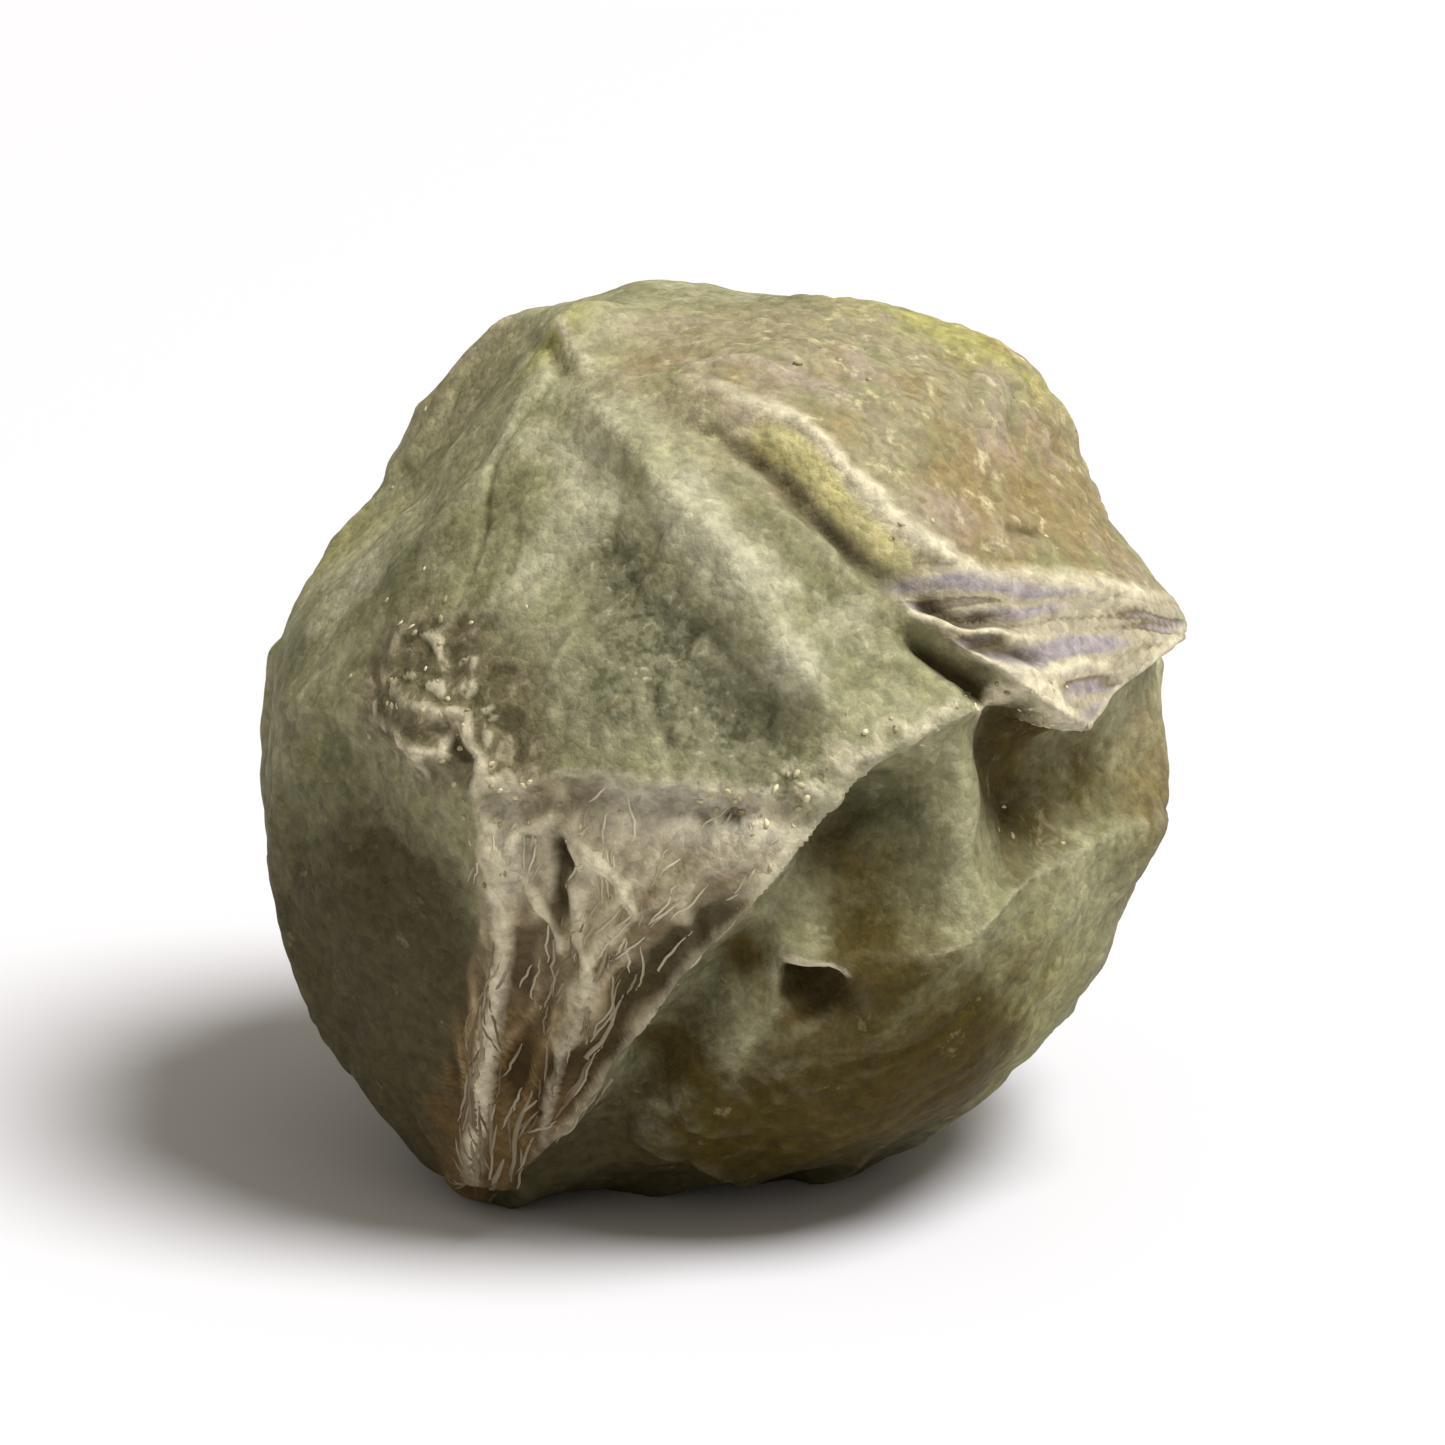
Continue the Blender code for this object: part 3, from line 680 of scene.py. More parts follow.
def layOver(add, colour, layers):
    # Lays each colour over what is under it: none of it where its amount is low and most of it where
    # that is high, held back to a share
    for amount, low, high, most, held, tint in layers:
        shown = add("ShaderNodeMapRange", {"Value": amount, "From Min": low, "From Max": high,
                                           "To Max": most})
        shown = add("ShaderNodeMath", {0: shown, 1: held}, operation="MULTIPLY")
        colour = add("ShaderNodeMix", {0: shown, 6: colour, 7: tint}, data_type="RGBA", give=2)
    return colour


def driedSkinMaterial():
    # Air-dried pepper skin: matt and leathery, blotched grey-green to tan, worn pale along its crests with
    # painted highlight on them, and painted shade in its folds and hollows
    material, add, place = newFinish("airDriedPepperSkin")
    share = {name: add("ShaderNodeAttribute", attribute_name=name, give="Fac")
             for name in (*zoneTints, "fibre", "veil", "flap", "crest", "creviceShade", "hollow", "ridge",
                          "strand", "stemward", "peeled", "crinkle")}
    colour = {name: fromHex(code) for name, code in skinColours.items()}
    pattern = {name: add("ShaderNodeTexNoise", {
        "Vector": place, "Scale": perMm(size), "Detail": detail, "Roughness": roughness,
        "Distortion": distortion}) for name, (size, detail, roughness, distortion) in skinNoises.items()}
    ragged = pattern["ragged"]

    # Fibres and papery flap: their tone follows the strands, with a little of the ragged noise
    tones = {"ground": pattern["blotch"]}
    for names, part in ((("upperFibres", "lowerFibres"), 0.4), (("papery",), 0.12)):
        tone = add("ShaderNodeMath", {0: ragged, 1: part}, operation="MULTIPLY")
        tone = add("ShaderNodeMath", {0: share["strand"], 1: 1 - part, 2: tone}, operation="MULTIPLY_ADD")
        tones.update({name: tone for name in names})
    ramp = {name: add("ShaderNodeValToRGB", {"Fac": tones[name]},
                      stops=[(position, colour[tint]) for position, tint in stops])
            for name, stops in skinRamps.items()}
    spots = {zone: [(pattern[name], low, high, most, share[zone], colour[tint])
                    for name, low, high, most, tint in rows] for zone, rows in zoneSpots.items()}

    # A pale bloom, then the zones, each with a ragged border, and the flushes inside the tan zone
    layers = [(ragged, 0.52, 0.72, 0.6, 1, colour["bloomAndHighlight"])]
    for zone, (tint, most) in zoneTints.items():
        torn = add("ShaderNodeMath", {0: share[zone], 1: ragged}, operation="ADD")
        layers.append((torn, 0.62, 1.20, most, 1, colour[tint]))
    layers += spots["tan"]

    # Fibres are pale at the top of their patch and browner toward the stem. The flap's long streaks of
    # lilac and cream run to its tip
    asItIs = (0, 1, 1, 1)
    strands = layOver(add, ramp["upperFibres"], [
        (share["stemward"], *asItIs, ramp["lowerFibres"]), (share["veil"], *asItIs, colour["veil"])])
    layers += [(share["fibre"], *asItIs, strands), (share["flap"], *asItIs, ramp["papery"])]

    # Where the skin has peeled it is speckled dark and pale, and the tops of its crinkles are cream
    layers += spots["peeled"] + [(share["crinkle"], 0.3, 0.9, 0.75, 1, colour["cream"])]

    # Crests are rubbed pale with a painted highlight, less so in the zones of painted shade, and enclosed
    # places and the folds' grooves get painted shade
    # Painted highlight on standing crests, partly their rubbed pale colour, held back where shade is painted
    crestWearAndHighlight = add("ShaderNodeMath", {0: share["shade"], 1: share["oliveGoldAndShade"]}, operation="MAXIMUM")
    crestWearAndHighlight = add("ShaderNodeMath", {0: crestWearAndHighlight, 1: -0.24, 2: 0.3}, operation="MULTIPLY_ADD")
    crestWearAndHighlight = add("ShaderNodeMath", {0: share["ridge"], 1: crestWearAndHighlight}, operation="MULTIPLY")
    # Painted shade in the folds' grooves and sunk folds, with a ragged edge
    grooveShade = add("ShaderNodeMath", {0: share["creviceShade"], 1: ragged}, operation="ADD")
    wear = add("ShaderNodeMath", {0: share["crest"], 1: ragged}, operation="MULTIPLY")
    layers += [(crestWearAndHighlight, *asItIs, colour["bloomAndHighlight"]), (share["hollow"], 0, 1, 0.5, 1, colour["creviceShade"]),
               (grooveShade, 0.65, 1.3, 0.85, 1, colour["creviceShade"]), (wear, 0.10, 0.38, 0.95, 1, colour["cream"])]
    skin = layOver(add, ramp["ground"], layers + spots["teal"])

    # A fine mottle and the tones of the cells keep any one spot from looking painted
    shaken = add("ShaderNodeTexNoise", {"Vector": place, "Scale": perMm(0.2), "Detail": 2}, give="Color")
    shaken = add("ShaderNodeVectorMath", {0: shaken, 1: (0.06 * mm,) * 3, 2: place},
                 operation="MULTIPLY_ADD")
    cells = add("ShaderNodeTexVoronoi", {"Vector": shaken, "Scale": perMm(cellSize)}, give=None)
    cellTone = add("ShaderNodeSeparateColor", {"Color": cells["Color"]})
    for tone, low, high, darkest, palest in ((pattern["mottle"], 0.3, 0.7, 0.74, 1.25),
                                             (cellTone, 0, 1, 0.84, 1.14)):
        tone = add("ShaderNodeMapRange", {"Value": tone, "From Min": low, "From Max": high,
                                          "To Min": darkest, "To Max": palest})
        skin = add("ShaderNodeVectorMath", {0: skin, "Scale": tone}, operation="SCALE")

    relief = add("ShaderNodeMath", {0: cells["Distance"], 1: -0.7, 2: pattern["pores"]},
                 operation="MULTIPLY_ADD")
    bump = add("ShaderNodeBump", {"Height": relief, "Strength": 0.6, "Distance": 0.016 * mm})
    rough = add("ShaderNodeMapRange", {"Value": ragged, "To Min": 0.55, "To Max": 0.85})
    shader = add("ShaderNodeBsdfPrincipled", {
        "Base Color": skin, "Roughness": rough, "Normal": bump, "Metallic": 0.0, "IOR": 1.45,
        "Specular IOR Level": 0.16})
    add("ShaderNodeOutputMaterial", {"Surface": shader})
    return material


def neighbourMeans(mesh, values, steps):
    # The values averaged over each point's neighbours, again and again
    edges = np.empty(len(mesh.edges) * 2, np.int32)
    mesh.edges.foreach_get("vertices", edges)
    edges = edges.reshape(-1, 2)
    count = np.bincount(edges.ravel(), minlength=len(values)).astype(float)
    values = values.reshape(len(values), -1)
    for step in range(steps):
        total = np.zeros_like(values)
        for column in range(values.shape[1]):
            total[:, column] = (np.bincount(edges[:, 0], values[edges[:, 1], column], len(values))
                                + np.bincount(edges[:, 1], values[edges[:, 0], column], len(values)))
        values = total / count[:, None]
    return values


def fineHeights(aims, points, masks):
    # Soft lumps, sparse creases, fine wrinkles and grain, with strands on the fibres and the flap
    relief = fineRelief
    stem = aim(berry["stemEnd"])
    drawn = points - relief["drawnOut"] * (points @ stem)[:, None] * stem
    warped = drawn + pushAt(points, relief["warp"], relief["warpSize"])
    patchy = 0.5 + 0.5 * np.clip(noiseAt(points, relief["patchSize"], 3) * 2.5, -1, 1)
    lift = relief["lumpHeight"] * noiseAt(warped, relief["lumpSize"], 1)
    crease = np.exp(-(noiseAt(warped, relief["creaseSize"], 7) / relief["creaseWidth"]) ** 2)
    lift -= relief["creaseHeight"] * crease * (0.25 + 0.75 * patchy)
    wrinkle = np.minimum(np.abs(noiseAt(warped, relief["wrinkleSize"], 5)), 0.4)
    lift += relief["wrinkleHeight"] * (3 * wrinkle - 0.5) * (0.4 + 0.6 * patchy)
    lift += relief["grainHeight"] * noiseAt(points, relief["grainSize"], 9)
    lift *= 1 - 0.6 * np.maximum(masks["fibre"], masks["flap"])
    lift += relief["crinkleHeight"] * (masks["crinkle"] - 0.3 * masks["peeled"])
    lift += relief["strandHeight"] * masks["fibre"] * (masks["strand"] - 0.5)
    lift += relief["flapHeight"] * masks["flap"] * (masks["strand"] - 0.5)
    lift += relief["pimpleHeight"] * masks["grainy"] * np.maximum(noiseAt(points, relief["pimpleSize"], 2), 0)
    gap = angleTo(aims, berry["stemEnd"])
    ringWidth = relief["scarReach"] / 2
    return (lift + relief["scarRing"] * np.exp(-((gap - relief["scarAt"]) / ringWidth) ** 2)
            - relief["scarDepth"] * np.exp(-(gap / relief["scarReach"]) ** 2))


def crinkles(points, masks):
    # Curled rims and crumbs where the outer skin has peeled away
    relief = fineRelief
    peeled = np.clip(np.maximum(masks["fleck"], masks["granule"]), 0, 1)
    bent = points + pushAt(points, relief["bend"], relief["bendSize"])
    rim = np.exp(-(noiseAt(bent, relief["crinkleSize"], 11) / relief["rimWidth"]) ** 2)
    gaps = noiseAt(points, relief["crumbSize"], 6) + 0.4 * noiseAt(points, relief["gapSize"], 8)
    broken = smoothStep(gaps, -0.05, 0.35)
    crumb = smoothStep(noiseAt(bent, relief["crumbSize"], 13), 0.2, 0.6)
    return peeled, peeled * np.maximum(rim * broken, 0.8 * crumb)


# Strands of the relief: their width and length in degrees, how much finer they are on the flap, and
# how much they wander. The layer keeps the two patterns apart.
strandWidth = 4.2
fibreStrands = {"fineness": 1, "length": 15, "wander": 0.9, "layer": 0}
flapStrands = {"fineness": 1.1, "length": 30, "wander": 0.25, "layer": 7}


def strandPattern(aims, flap):
    # Strands run to the stem end on the fibrous patch, and to the tip on the flap
    stemTurn, stemGap = polarRound(aims, berry["stemEnd"])
    tipTurn, tipGap = polarRound(aims, flapPatch["tip"])
    onFlap = flap > 0.01
    kind = {name: np.where(onFlap, flapStrands[name], fibreStrands[name]) for name in fibreStrands}
    wander = kind["wander"] * np.array([noise.noise(Vector(a) * 7) for a in aims])
    turn = np.where(onFlap, tipTurn, stemTurn) * kind["fineness"] / strandWidth
    gap = np.where(onFlap, tipGap, stemGap) / kind["length"]
    places = np.column_stack((turn + wander, gap, kind["layer"]))
    strand = sum(part * np.array([noise.noise(Vector(p) * finer) for p in places])
                 for part, finer in ((0.9, 1), (0.5, 2.4), (0.15, 5.3)))
    return np.clip(0.5 + 0.8 * strand * smoothStep(stemGap, 6, 22), 0, 1), smoothStep(stemGap, 58, 24)


def skinShares(aims, points, shares):
    # How much of each finish there is at each point, for the relief, the colours and what grows on it
    masks = {name: zoneMask(aims, zones) for name, zones in colourZones.items()}
    masks["fibre"] = fibreShare(aims, noiseAt(points, 0.22, 4))
    masks["flap"], masks["band"] = flapShares(aims)
    masks["strand"], masks["stemward"] = strandPattern(aims, masks["flap"])
    masks["peeled"], masks["crinkle"] = crinkles(points, masks)
    masks["stringy"] = masks["fibre"] * (1 - masks["veil"]) * (0.25 + 0.75 * masks["stemward"])
    masks["frayed"] = (masks["fibre"] * (1 - masks["stemward"]) * (1 - np.clip(shares["creviceShade"], 0, 1))
                       * smoothStep(noiseAt(points, 0.3, 15), -0.3, 0.3))
    return masks


# What counts as open or enclosed, and the depth of a dent and the height of a crest, in mm, that get
# full painted shade or are fully rubbed pale with painted highlight. Steps is how many neighbours away
# they are measured from.
paintedShadeAndWear = {"open": 0.10, "enclosed": 0.5, "dent": 0.04, "crest": 0.018, "steps": 6}


def makeSkin():
    mesh = roundedCube("peppercornSkin", berry["segments"])
    aims = readVectors(mesh.vertices, "co", len(mesh.vertices))
    points, shares = berryForm(aims)
    low, high = points.min(axis=0), points.max(axis=0)
    middle = np.array(((low[0] + high[0]) / 2, (low[1] + high[1]) / 2, -berry["flatHeight"]))
    wander = noiseAt(aims, fineWobbleLength)
    for fold in fineFolds.values():
        addFold(fold, aims, points, shares, wander)
    mesh.vertices.foreach_set("co", ((points - middle) * mm).astype(np.float32).ravel())
    mesh.update()
    normals = readVectors(mesh.vertex_normals, "vector", len(mesh.vertices))
    print("main form done")

    masks = skinShares(aims, points, shares)
    lift = fineHeights(aims, points, masks)
    points = points - middle + normals * lift[:, None]
    # The faces are larger round the back, where a sharp crest would be notched, so it is eased there
    behind = 0.5 * smoothStep(-aims @ aim(berry["frontView"]), -0.3, 0.3)
    points += behind[:, None] * (neighbourMeans(mesh, points, 1) - points)
    points[:, 2] = np.maximum(points[:, 2], 0)
    mesh.vertices.foreach_set("co", (points * mm).astype(np.float32).ravel())
    mesh.update()
    normals = readVectors(mesh.vertex_normals, "vector", len(mesh.vertices))
    print("fine relief done")

    # Enclosed and dented places get painted shade, standing ones are rubbed pale with painted highlight
    enclosed = neighbourMeans(mesh, shelter(mesh, points, normals), 1)[:, 0]
    sharpLift = np.einsum("ij,ij->i", points - neighbourMeans(mesh, points, paintedShadeAndWear["steps"]), normals)
    masks["hollow"] = (np.clip((enclosed - paintedShadeAndWear["open"]) / paintedShadeAndWear["enclosed"], 0, 1)
                       + np.clip(-sharpLift / paintedShadeAndWear["dent"] - 0.1, 0, 0.6))
    masks["ridge"] = np.clip(sharpLift / paintedShadeAndWear["crest"] - 0.15, 0, 1)
    masks.update(shares)
    for name, values in masks.items():
        storeShare(mesh, name, np.clip(values, 0, 1))
    mesh.shade_smooth()
    mesh.materials.append(driedSkinMaterial())
    skin = linkPiece("peppercornSkin", mesh)
    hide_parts("peppercorn")
    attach(skin, "root")
    print("skin done:", len(mesh.polygons), "faces")
    return skin, middle


def dryFibreMaterial(name, darkCode, paleCode):
    # Dried plant fibre: straw-like and matt, each strand a little paler or browner than the next
    material, add, place = newFinish(name)
    tone = add("ShaderNodeAttribute", attribute_name="tone", give="Fac")
    streak = add("ShaderNodeTexNoise", {"Vector": place, "Scale": perMm(0.12), "Detail": 3})
    mixed = add("ShaderNodeMath", {0: tone, 1: streak}, operation="ADD")
    mixed = add("ShaderNodeMath", {0: mixed, 1: 0.5}, operation="MULTIPLY")
    stops = [(0.3, fromHex(darkCode)), (0.7, fromHex(paleCode))]
    colour = add("ShaderNodeValToRGB", {"Fac": mixed}, stops=stops)
    brown = add("ShaderNodeAttribute", attribute_name="stemward", give="Fac")
    colour = layOver(add, colour, [(brown, 0, 1, 0.4, 1, fromHex(skinColours["fibreDeep"]))])
    shader = add("ShaderNodeBsdfPrincipled", {
        "Base Color": colour, "Roughness": 0.75, "Metallic": 0.0, "IOR": 1.5, "Specular IOR Level": 0.2})
    add("ShaderNodeOutputMaterial", {"Surface": shader})
    return material


def newGrower(name, inputs):
    # A Geometry Nodes tree that grows things on the skin, what adds nodes to it, and its named inputs
    tree = bpy.data.node_groups.new(name, "GeometryNodeTree")
    tree.interface.new_socket("Grown", in_out="OUTPUT", socket_type="NodeSocketGeometry")
    shared = {"Skin": "Geometry", "Where": "String", "Per square metre": "Float", "Seed": "Int",
              "Finish": "Material"}
    for label, kind in (shared | inputs).items():
        tree.interface.new_socket(label, in_out="INPUT", socket_type="NodeSocket" + kind)
    add = partial(addNode, tree)
    return tree, add, add("NodeGroupInput", give=None)


def scatterOn(add, given, least):
    # Points on the skin where its share is over the least, the more the higher it is
    where = add("GeometryNodeInputNamedAttribute", {"Name": given["Where"]})
    where = add("ShaderNodeMapRange", {"Value": where, "From Min": least})
    density = add("ShaderNodeMath", {0: where, 1: given["Per square metre"]}, operation="MULTIPLY")
    return add("GeometryNodeDistributePointsOnFaces",
               {"Mesh": given["Skin"], "Density": density, "Seed": given["Seed"]}, give=None)


def turnedAbout(add, rotation, least, most):
    # Each point's rotation, turned about its own Z by an angle that is drawn for it
    angle = add("FunctionNodeRandomValue", {2: least, 3: most, "Seed": 5}, data_type="FLOAT", give=1)
    angle = add("FunctionNodeAxisAngleToRotation", {"Angle": angle})
    return add("FunctionNodeRotateRotation", {"Rotation": rotation, "Rotate By": angle},
               rotation_space="LOCAL")


def standOn(add, points, shape, rotation, scale):
    # A copy of the shape on each point, with a tone of its own
    copies = add("GeometryNodeInstanceOnPoints", {
        "Points": points, "Instance": shape, "Rotation": rotation, "Scale": scale})
    tone = add("FunctionNodeRandomValue", {"Seed": 7}, data_type="FLOAT", give=1)
    copies = add("GeometryNodeStoreNamedAttribute", {"Geometry": copies, "Name": "tone", "Value": tone},
                 domain="INSTANCE")
    return add("GeometryNodeRealizeInstances", {"Geometry": copies})


def nudge(add, place, size, reach):
    # A push to any side, from a noise with bumps of this size in mm
    push = add("ShaderNodeTexNoise", {"Vector": place, "Scale": perMm(size), "Detail": 1}, give="Color")
    push = add("ShaderNodeVectorMath", {0: push, 1: (0.5, 0.5, 0.5)}, operation="SUBTRACT")
    return add("ShaderNodeVectorMath", {0: push, "Scale": reach}, operation="SCALE")


def endGrower(add, given, grown):
    grown = add("GeometryNodeSetShadeSmooth", {"Geometry": grown})
    grown = add("GeometryNodeRealizeInstances", {"Geometry": grown})
    grown = add("GeometryNodeSetMaterial", {"Geometry": grown, "Material": given["Finish"]})
    add("NodeGroupOutput", {"Grown": grown})


def strandTree():
    # Strands scattered where the skin's share asks for them, laid along it toward a far end
    tree, add, given = newGrower("surfaceStrands", {
        "Length": "Float", "Thickness": "Float", "Lift": "Float", "Wander": "Float", "Spread": "Float",
        "Far end": "Vector"})
    scatter = scatterOn(add, given, 0.2)
    place = add("GeometryNodeInputPosition")
    toEnd = add("ShaderNodeVectorMath", {0: given["Far end"], 1: place}, operation="SUBTRACT")
    along = add("FunctionNodeAlignRotationToVector", {"Vector": toEnd}, axis="X")
    along = add("FunctionNodeAlignRotationToVector", {"Rotation": along, "Vector": scatter["Normal"]},
                axis="Z", pivot_axis="X")
    less = add("ShaderNodeMath", {0: given["Spread"], 1: -1.0}, operation="MULTIPLY")
    along = turnedAbout(add, along, less, given["Spread"])
    size = add("FunctionNodeRandomValue", {2: 0.4, 3: 1.5, "Seed": 6}, data_type="FLOAT", give=1)
    size = add("ShaderNodeMath", {0: size, 1: given["Length"]}, operation="MULTIPLY")
    left = add("ShaderNodeVectorMath", {0: toEnd}, operation="LENGTH", give="Value")
    left = add("ShaderNodeMath", {0: left, 1: 0.8}, operation="MULTIPLY")
    size = add("ShaderNodeMath", {0: size, 1: left}, operation="MINIMUM")
    stick = add("GeometryNodeCurvePrimitiveLine", {"Start": (0, 0, 0), "End": (1, 0, 0)})
    stick = add("GeometryNodeResampleCurve", {"Curve": stick, "Count": 11})
    laid = standOn(add, scatter["Points"], stick, along, size)

    # Each strand wavers sideways, follows the skin, lies half sunk in it, and dips under at both ends
    moved = add("ShaderNodeVectorMath", {0: place, 1: nudge(add, place, 0.45, given["Wander"])},
                operation="ADD")
    foot = add("GeometryNodeProximity", {"Geometry": given["Skin"], "Sample Position": moved})
    normal = add("GeometryNodeSampleNearestSurface", {
        "Mesh": given["Skin"], "Value": add("GeometryNodeInputNormal"), "Sample Position": moved},
        data_type="FLOAT_VECTOR")
    arch = add("ShaderNodeMath", {0: add("GeometryNodeSplineParameter"), 1: math.pi}, operation="MULTIPLY")
    arch = add("ShaderNodeMath", {0: arch}, operation="SINE")
    ownTone = add("GeometryNodeInputNamedAttribute", {"Name": "tone"})
    height = add("ShaderNodeMath", {0: ownTone, 1: 0.7, 2: 0.3}, operation="MULTIPLY_ADD")
    height = add("ShaderNodeMath", {0: arch, 1: height, 2: -0.6}, operation="MULTIPLY_ADD")
    height = add("ShaderNodeMath", {0: height, 1: given["Lift"]}, operation="MULTIPLY")
    raised = add("ShaderNodeVectorMath", {0: normal, "Scale": height}, operation="SCALE")
    raised = add("ShaderNodeVectorMath", {0: foot, 1: raised}, operation="ADD")
    laid = add("GeometryNodeSetPosition", {"Geometry": laid, "Position": raised})
    browner = add("GeometryNodeInputNamedAttribute", {"Name": "stemward"})
    browner = add("GeometryNodeSampleNearestSurface", {
        "Mesh": given["Skin"], "Value": browner, "Sample Position": place}, data_type="FLOAT")
    laid = add("GeometryNodeStoreNamedAttribute", {"Geometry": laid, "Name": "stemward", "Value": browner})
    thick = add("ShaderNodeMath", {0: arch, 1: 0.75, 2: 0.25}, operation="MULTIPLY_ADD")
    thick = add("ShaderNodeMath", {0: thick, 1: given["Thickness"]}, operation="MULTIPLY")
    ring = add("GeometryNodeCurvePrimitiveCircle", {"Resolution": 5, "Radius": 1.0})
    tubes = add("GeometryNodeCurveToMesh", {
        "Curve": laid, "Profile Curve": ring, "Scale": thick, "Fill Caps": True})
    endGrower(add, given, tubes)
    return tree


def crumbTree():
    # Small flat crumbs of peeled skin, stuck on where the skin's share asks for them
    tree, add, given = newGrower("skinCrumbs", {"Size": "Float"})
    scatter = scatterOn(add, given, 0.0)
    turn = turnedAbout(add, scatter["Rotation"], 0.0, 2 * math.pi)
    shape = add("FunctionNodeRandomValue", {0: (0.5, 0.4, 0.15), 1: (1.4, 1.0, 0.4), "Seed": 6},
                data_type="FLOAT_VECTOR")
    shape = add("ShaderNodeVectorMath", {0: shape, "Scale": given["Size"]}, operation="SCALE")
    crumb = add("GeometryNodeMeshIcoSphere", {"Radius": 1.0, "Subdivisions": 1})
    stuck = standOn(add, scatter["Points"], crumb, turn, shape)
    rough = nudge(add, add("GeometryNodeInputPosition"), 0.03, given["Size"])
    endGrower(add, given, add("GeometryNodeSetPosition", {"Geometry": stuck, "Offset": rough}))
    return tree


def growOn(skin, name, tree, values):
    # Runs a tree on a copy of the skin and keeps what it grows as a plain mesh of its own
    piece = linkPiece(name, skin.data.copy())
    grower = piece.modifiers.new(name, "NODES")
    grower.node_group = tree
    for socket in tree.interface.items_tree:
        if socket.name in values:
            grower[socket.identifier] = values[socket.name]
    grown = bpy.data.meshes.new_from_object(piece.evaluated_get(bpy.context.evaluated_depsgraph_get()))
    piece.modifiers.remove(grower)
    spare = piece.data
    piece.data = grown
    bpy.data.meshes.remove(spare)
    grown.name = name
    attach(piece, "root")
    print(name, "done:", len(grown.polygons), "faces")


# Counts are per square mm, sizes in mm, and spread is how far strands veer, in degrees.
strandSets = {
    "stemFibres": {
        "where": "stringy", "perSquareMm": 9, "length": 1.0, "thickness": 0.019, "lift": 0.012,
        "wander": 0.10, "spread": 7, "seed": 3, "dark": "#85755a", "pale": "#b5a98c",
    },
    "fineFibres": {
        "where": "stringy", "perSquareMm": 45, "length": 0.42, "thickness": 0.010, "lift": 0.010,
        "wander": 0.08, "spread": 22, "seed": 8, "dark": "#7d6d50", "pale": "#c6bb9f",
    },
    "frayedEnds": {
        "where": "frayed", "perSquareMm": 70, "length": 0.30, "thickness": 0.009, "lift": 0.010,
        "wander": 0.05, "spread": 26, "seed": 21, "dark": "#a39a7d", "pale": "#cfc7ab",
    },
}
skinCrumbs = {
    "perSquareMm": 55, "size": 0.024, "seed": 12, "dark": "#8f8460", "pale": "#cfc7a4",
}


def makeStrands(skin, middle):
    # They run to a point just outside the stem end
    farEnd = (aim(berry["stemEnd"]) * berry["radius"] * 1.15 - middle) * mm
    tree = strandTree()
    for name, strands in strandSets.items():
        growOn(skin, name, tree, {
            "Where": strands["where"], "Per square metre": strands["perSquareMm"] / mm ** 2,
            "Length": strands["length"] * mm, "Thickness": strands["thickness"] * mm,
            "Lift": strands["lift"] * mm, "Wander": strands["wander"] * mm,
            "Spread": math.radians(strands["spread"]), "Far end": tuple(farEnd), "Seed": strands["seed"],
            "Finish": dryFibreMaterial(name + "Straw", strands["dark"], strands["pale"])})


def makeCrumbs(skin):
    growOn(skin, "skinCrumbs", crumbTree(), {
        "Where": "granule", "Per square metre": skinCrumbs["perSquareMm"] / mm ** 2,
        "Size": skinCrumbs["size"] * mm, "Seed": skinCrumbs["seed"],
        "Finish": dryFibreMaterial("peeledSkinFlake", skinCrumbs["dark"], skinCrumbs["pale"])})


stage = {
    "floorSize": 1.2,           # m
    "lens": 600,                # mm
    "fill": 0.64,               # share of the picture's width that the berry takes
    "elevation": 18,
    "keyTurn": 18,              # degrees from the right toward the camera
    "keyHeight": 62,
    "keyDistance": 0.30,        # m
    "keySize": 0.15,
    "keyPower": 1.42,           # W
    "skyStrength": 0.42,
    "skyColour": "#fff6e4",
    "floorColour": "#cdccd0",
}
target = Vector((0, 0, (cadLow.z + cadHigh.z) / 2))


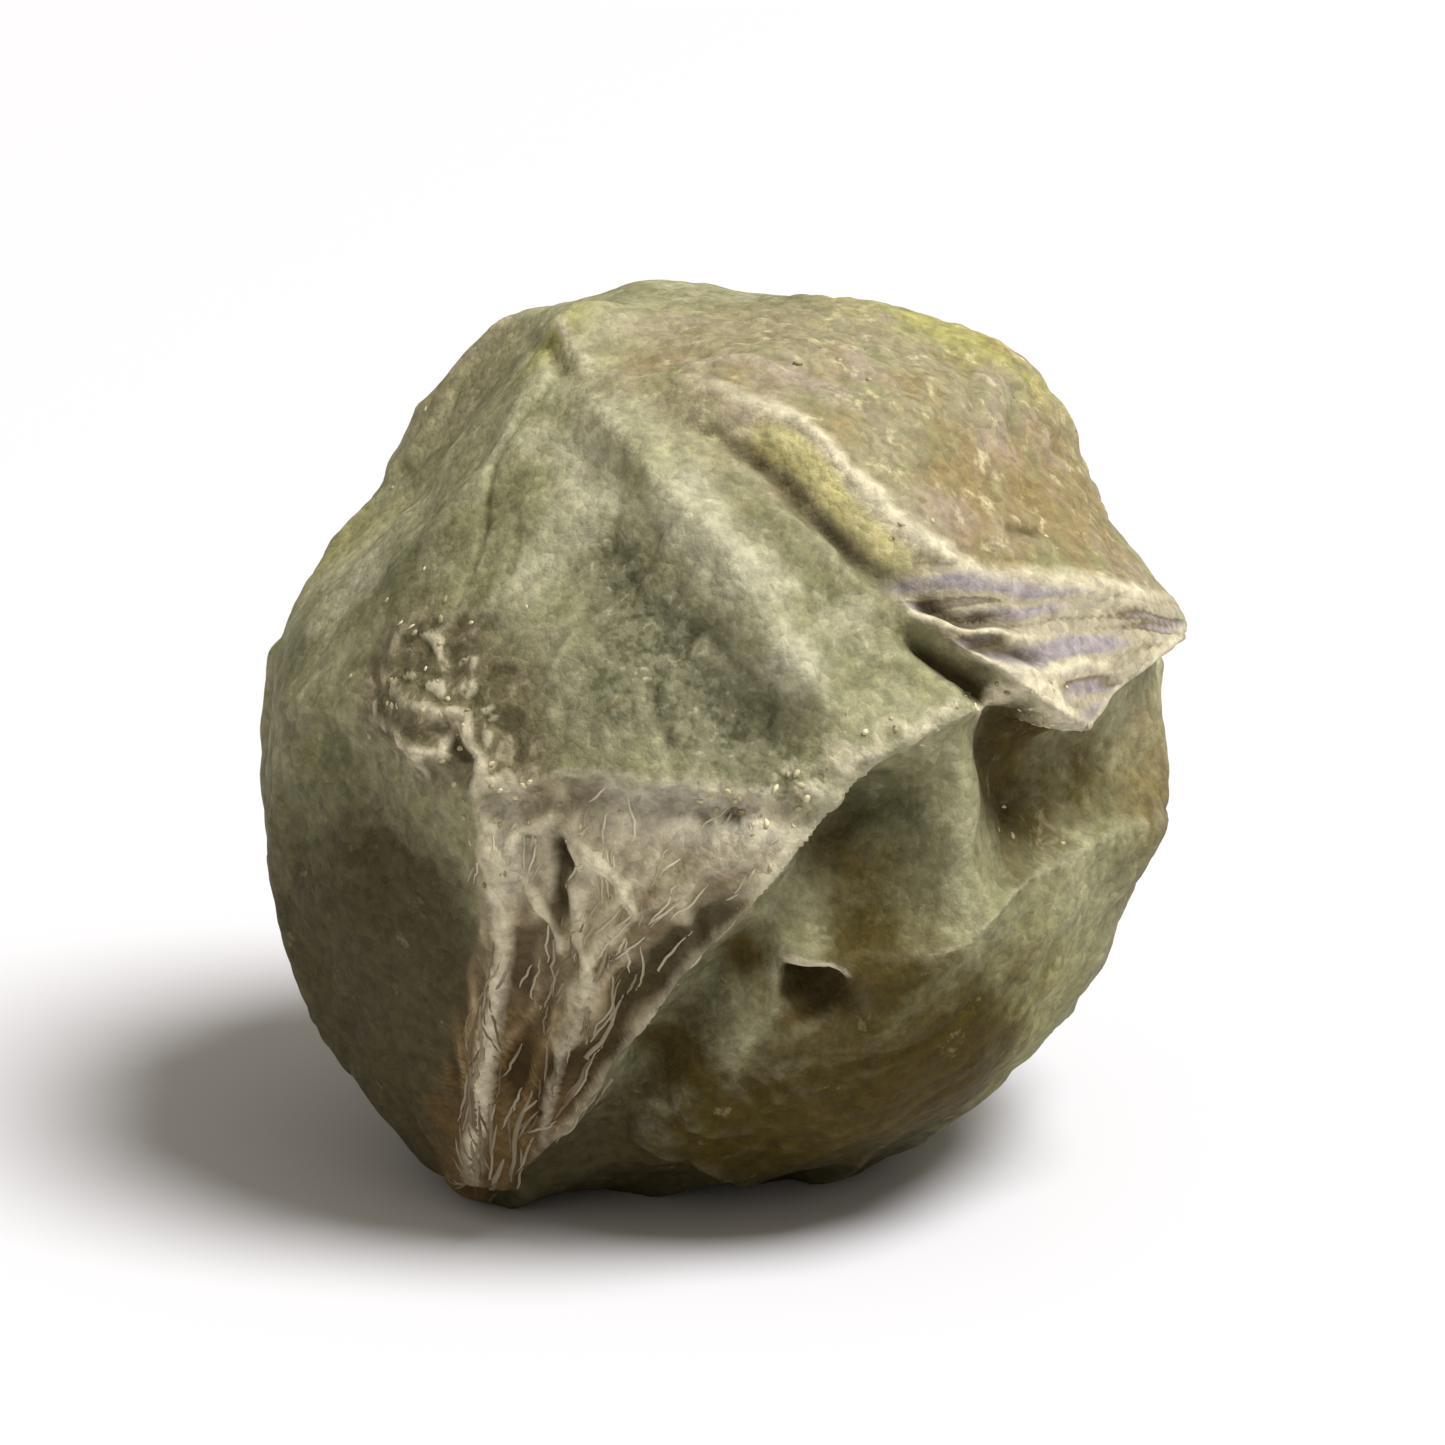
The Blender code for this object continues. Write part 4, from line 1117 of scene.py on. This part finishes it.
def makeFloor():
    shape = bmesh.new()
    bmesh.ops.create_grid(shape, x_segments=1, y_segments=1, size=stage["floorSize"] / 2)
    mesh = bpy.data.meshes.new("floor")
    shape.to_mesh(mesh)
    shape.free()
    paper = bpy.data.materials.new("mattWhitePaper")
    paper.use_nodes = True
    surface = paper.node_tree.nodes["Principled BSDF"]
    surface.inputs["Base Color"].default_value = fromHex(stage["floorColour"])
    surface.inputs["Roughness"].default_value = 0.9
    mesh.materials.append(paper)
    linkPiece("floor", mesh)


def makeLight():
    # A round softbox high at the right, under an even white sky
    sky = bpy.data.worlds.new("studioWhite")
    sky.use_nodes = True
    background = sky.node_tree.nodes["Background"]
    background.inputs["Color"].default_value = fromHex(stage["skyColour"])
    background.inputs["Strength"].default_value = stage["skyStrength"]
    bpy.context.scene.world = sky

    softbox = bpy.data.lights.new("softbox", "AREA")
    softbox.shape = "DISK"
    softbox.size = stage["keySize"]
    softbox.energy = stage["keyPower"]
    lamp = linkPiece("softbox", softbox)
    turn, height = math.radians(stage["keyTurn"]), math.radians(stage["keyHeight"])
    toLamp = Vector((math.cos(turn) * math.cos(height), -math.sin(turn) * math.cos(height), math.sin(height)))
    lamp.location = target + toLamp * stage["keyDistance"]
    lamp.rotation_euler = toLamp.to_track_quat("Z", "Y").to_euler()
    lamp.visible_camera = False


def makeCamera():
    camera = linkPiece("camera", bpy.data.cameras.new("camera"))
    camera.data.lens = stage["lens"]
    width = (cadHigh.x - cadLow.x) / stage["fill"]
    distance = width * camera.data.lens / camera.data.sensor_width
    rise = math.radians(stage["elevation"])
    back = Vector((0, -math.cos(rise), math.sin(rise)))
    camera.location = target + back * distance
    camera.rotation_euler = back.to_track_quat("Z", "Y").to_euler()
    camera.data.clip_start = 0.1 * distance
    camera.data.clip_end = 3
    bpy.context.scene.camera = camera
    bpy.context.scene.view_settings.view_transform = "Standard"


makeCamera()
makeFloor()
makeLight()
print("stage done")
skin, middle = makeSkin()
makeStrands(skin, middle)
makeCrumbs(skin)
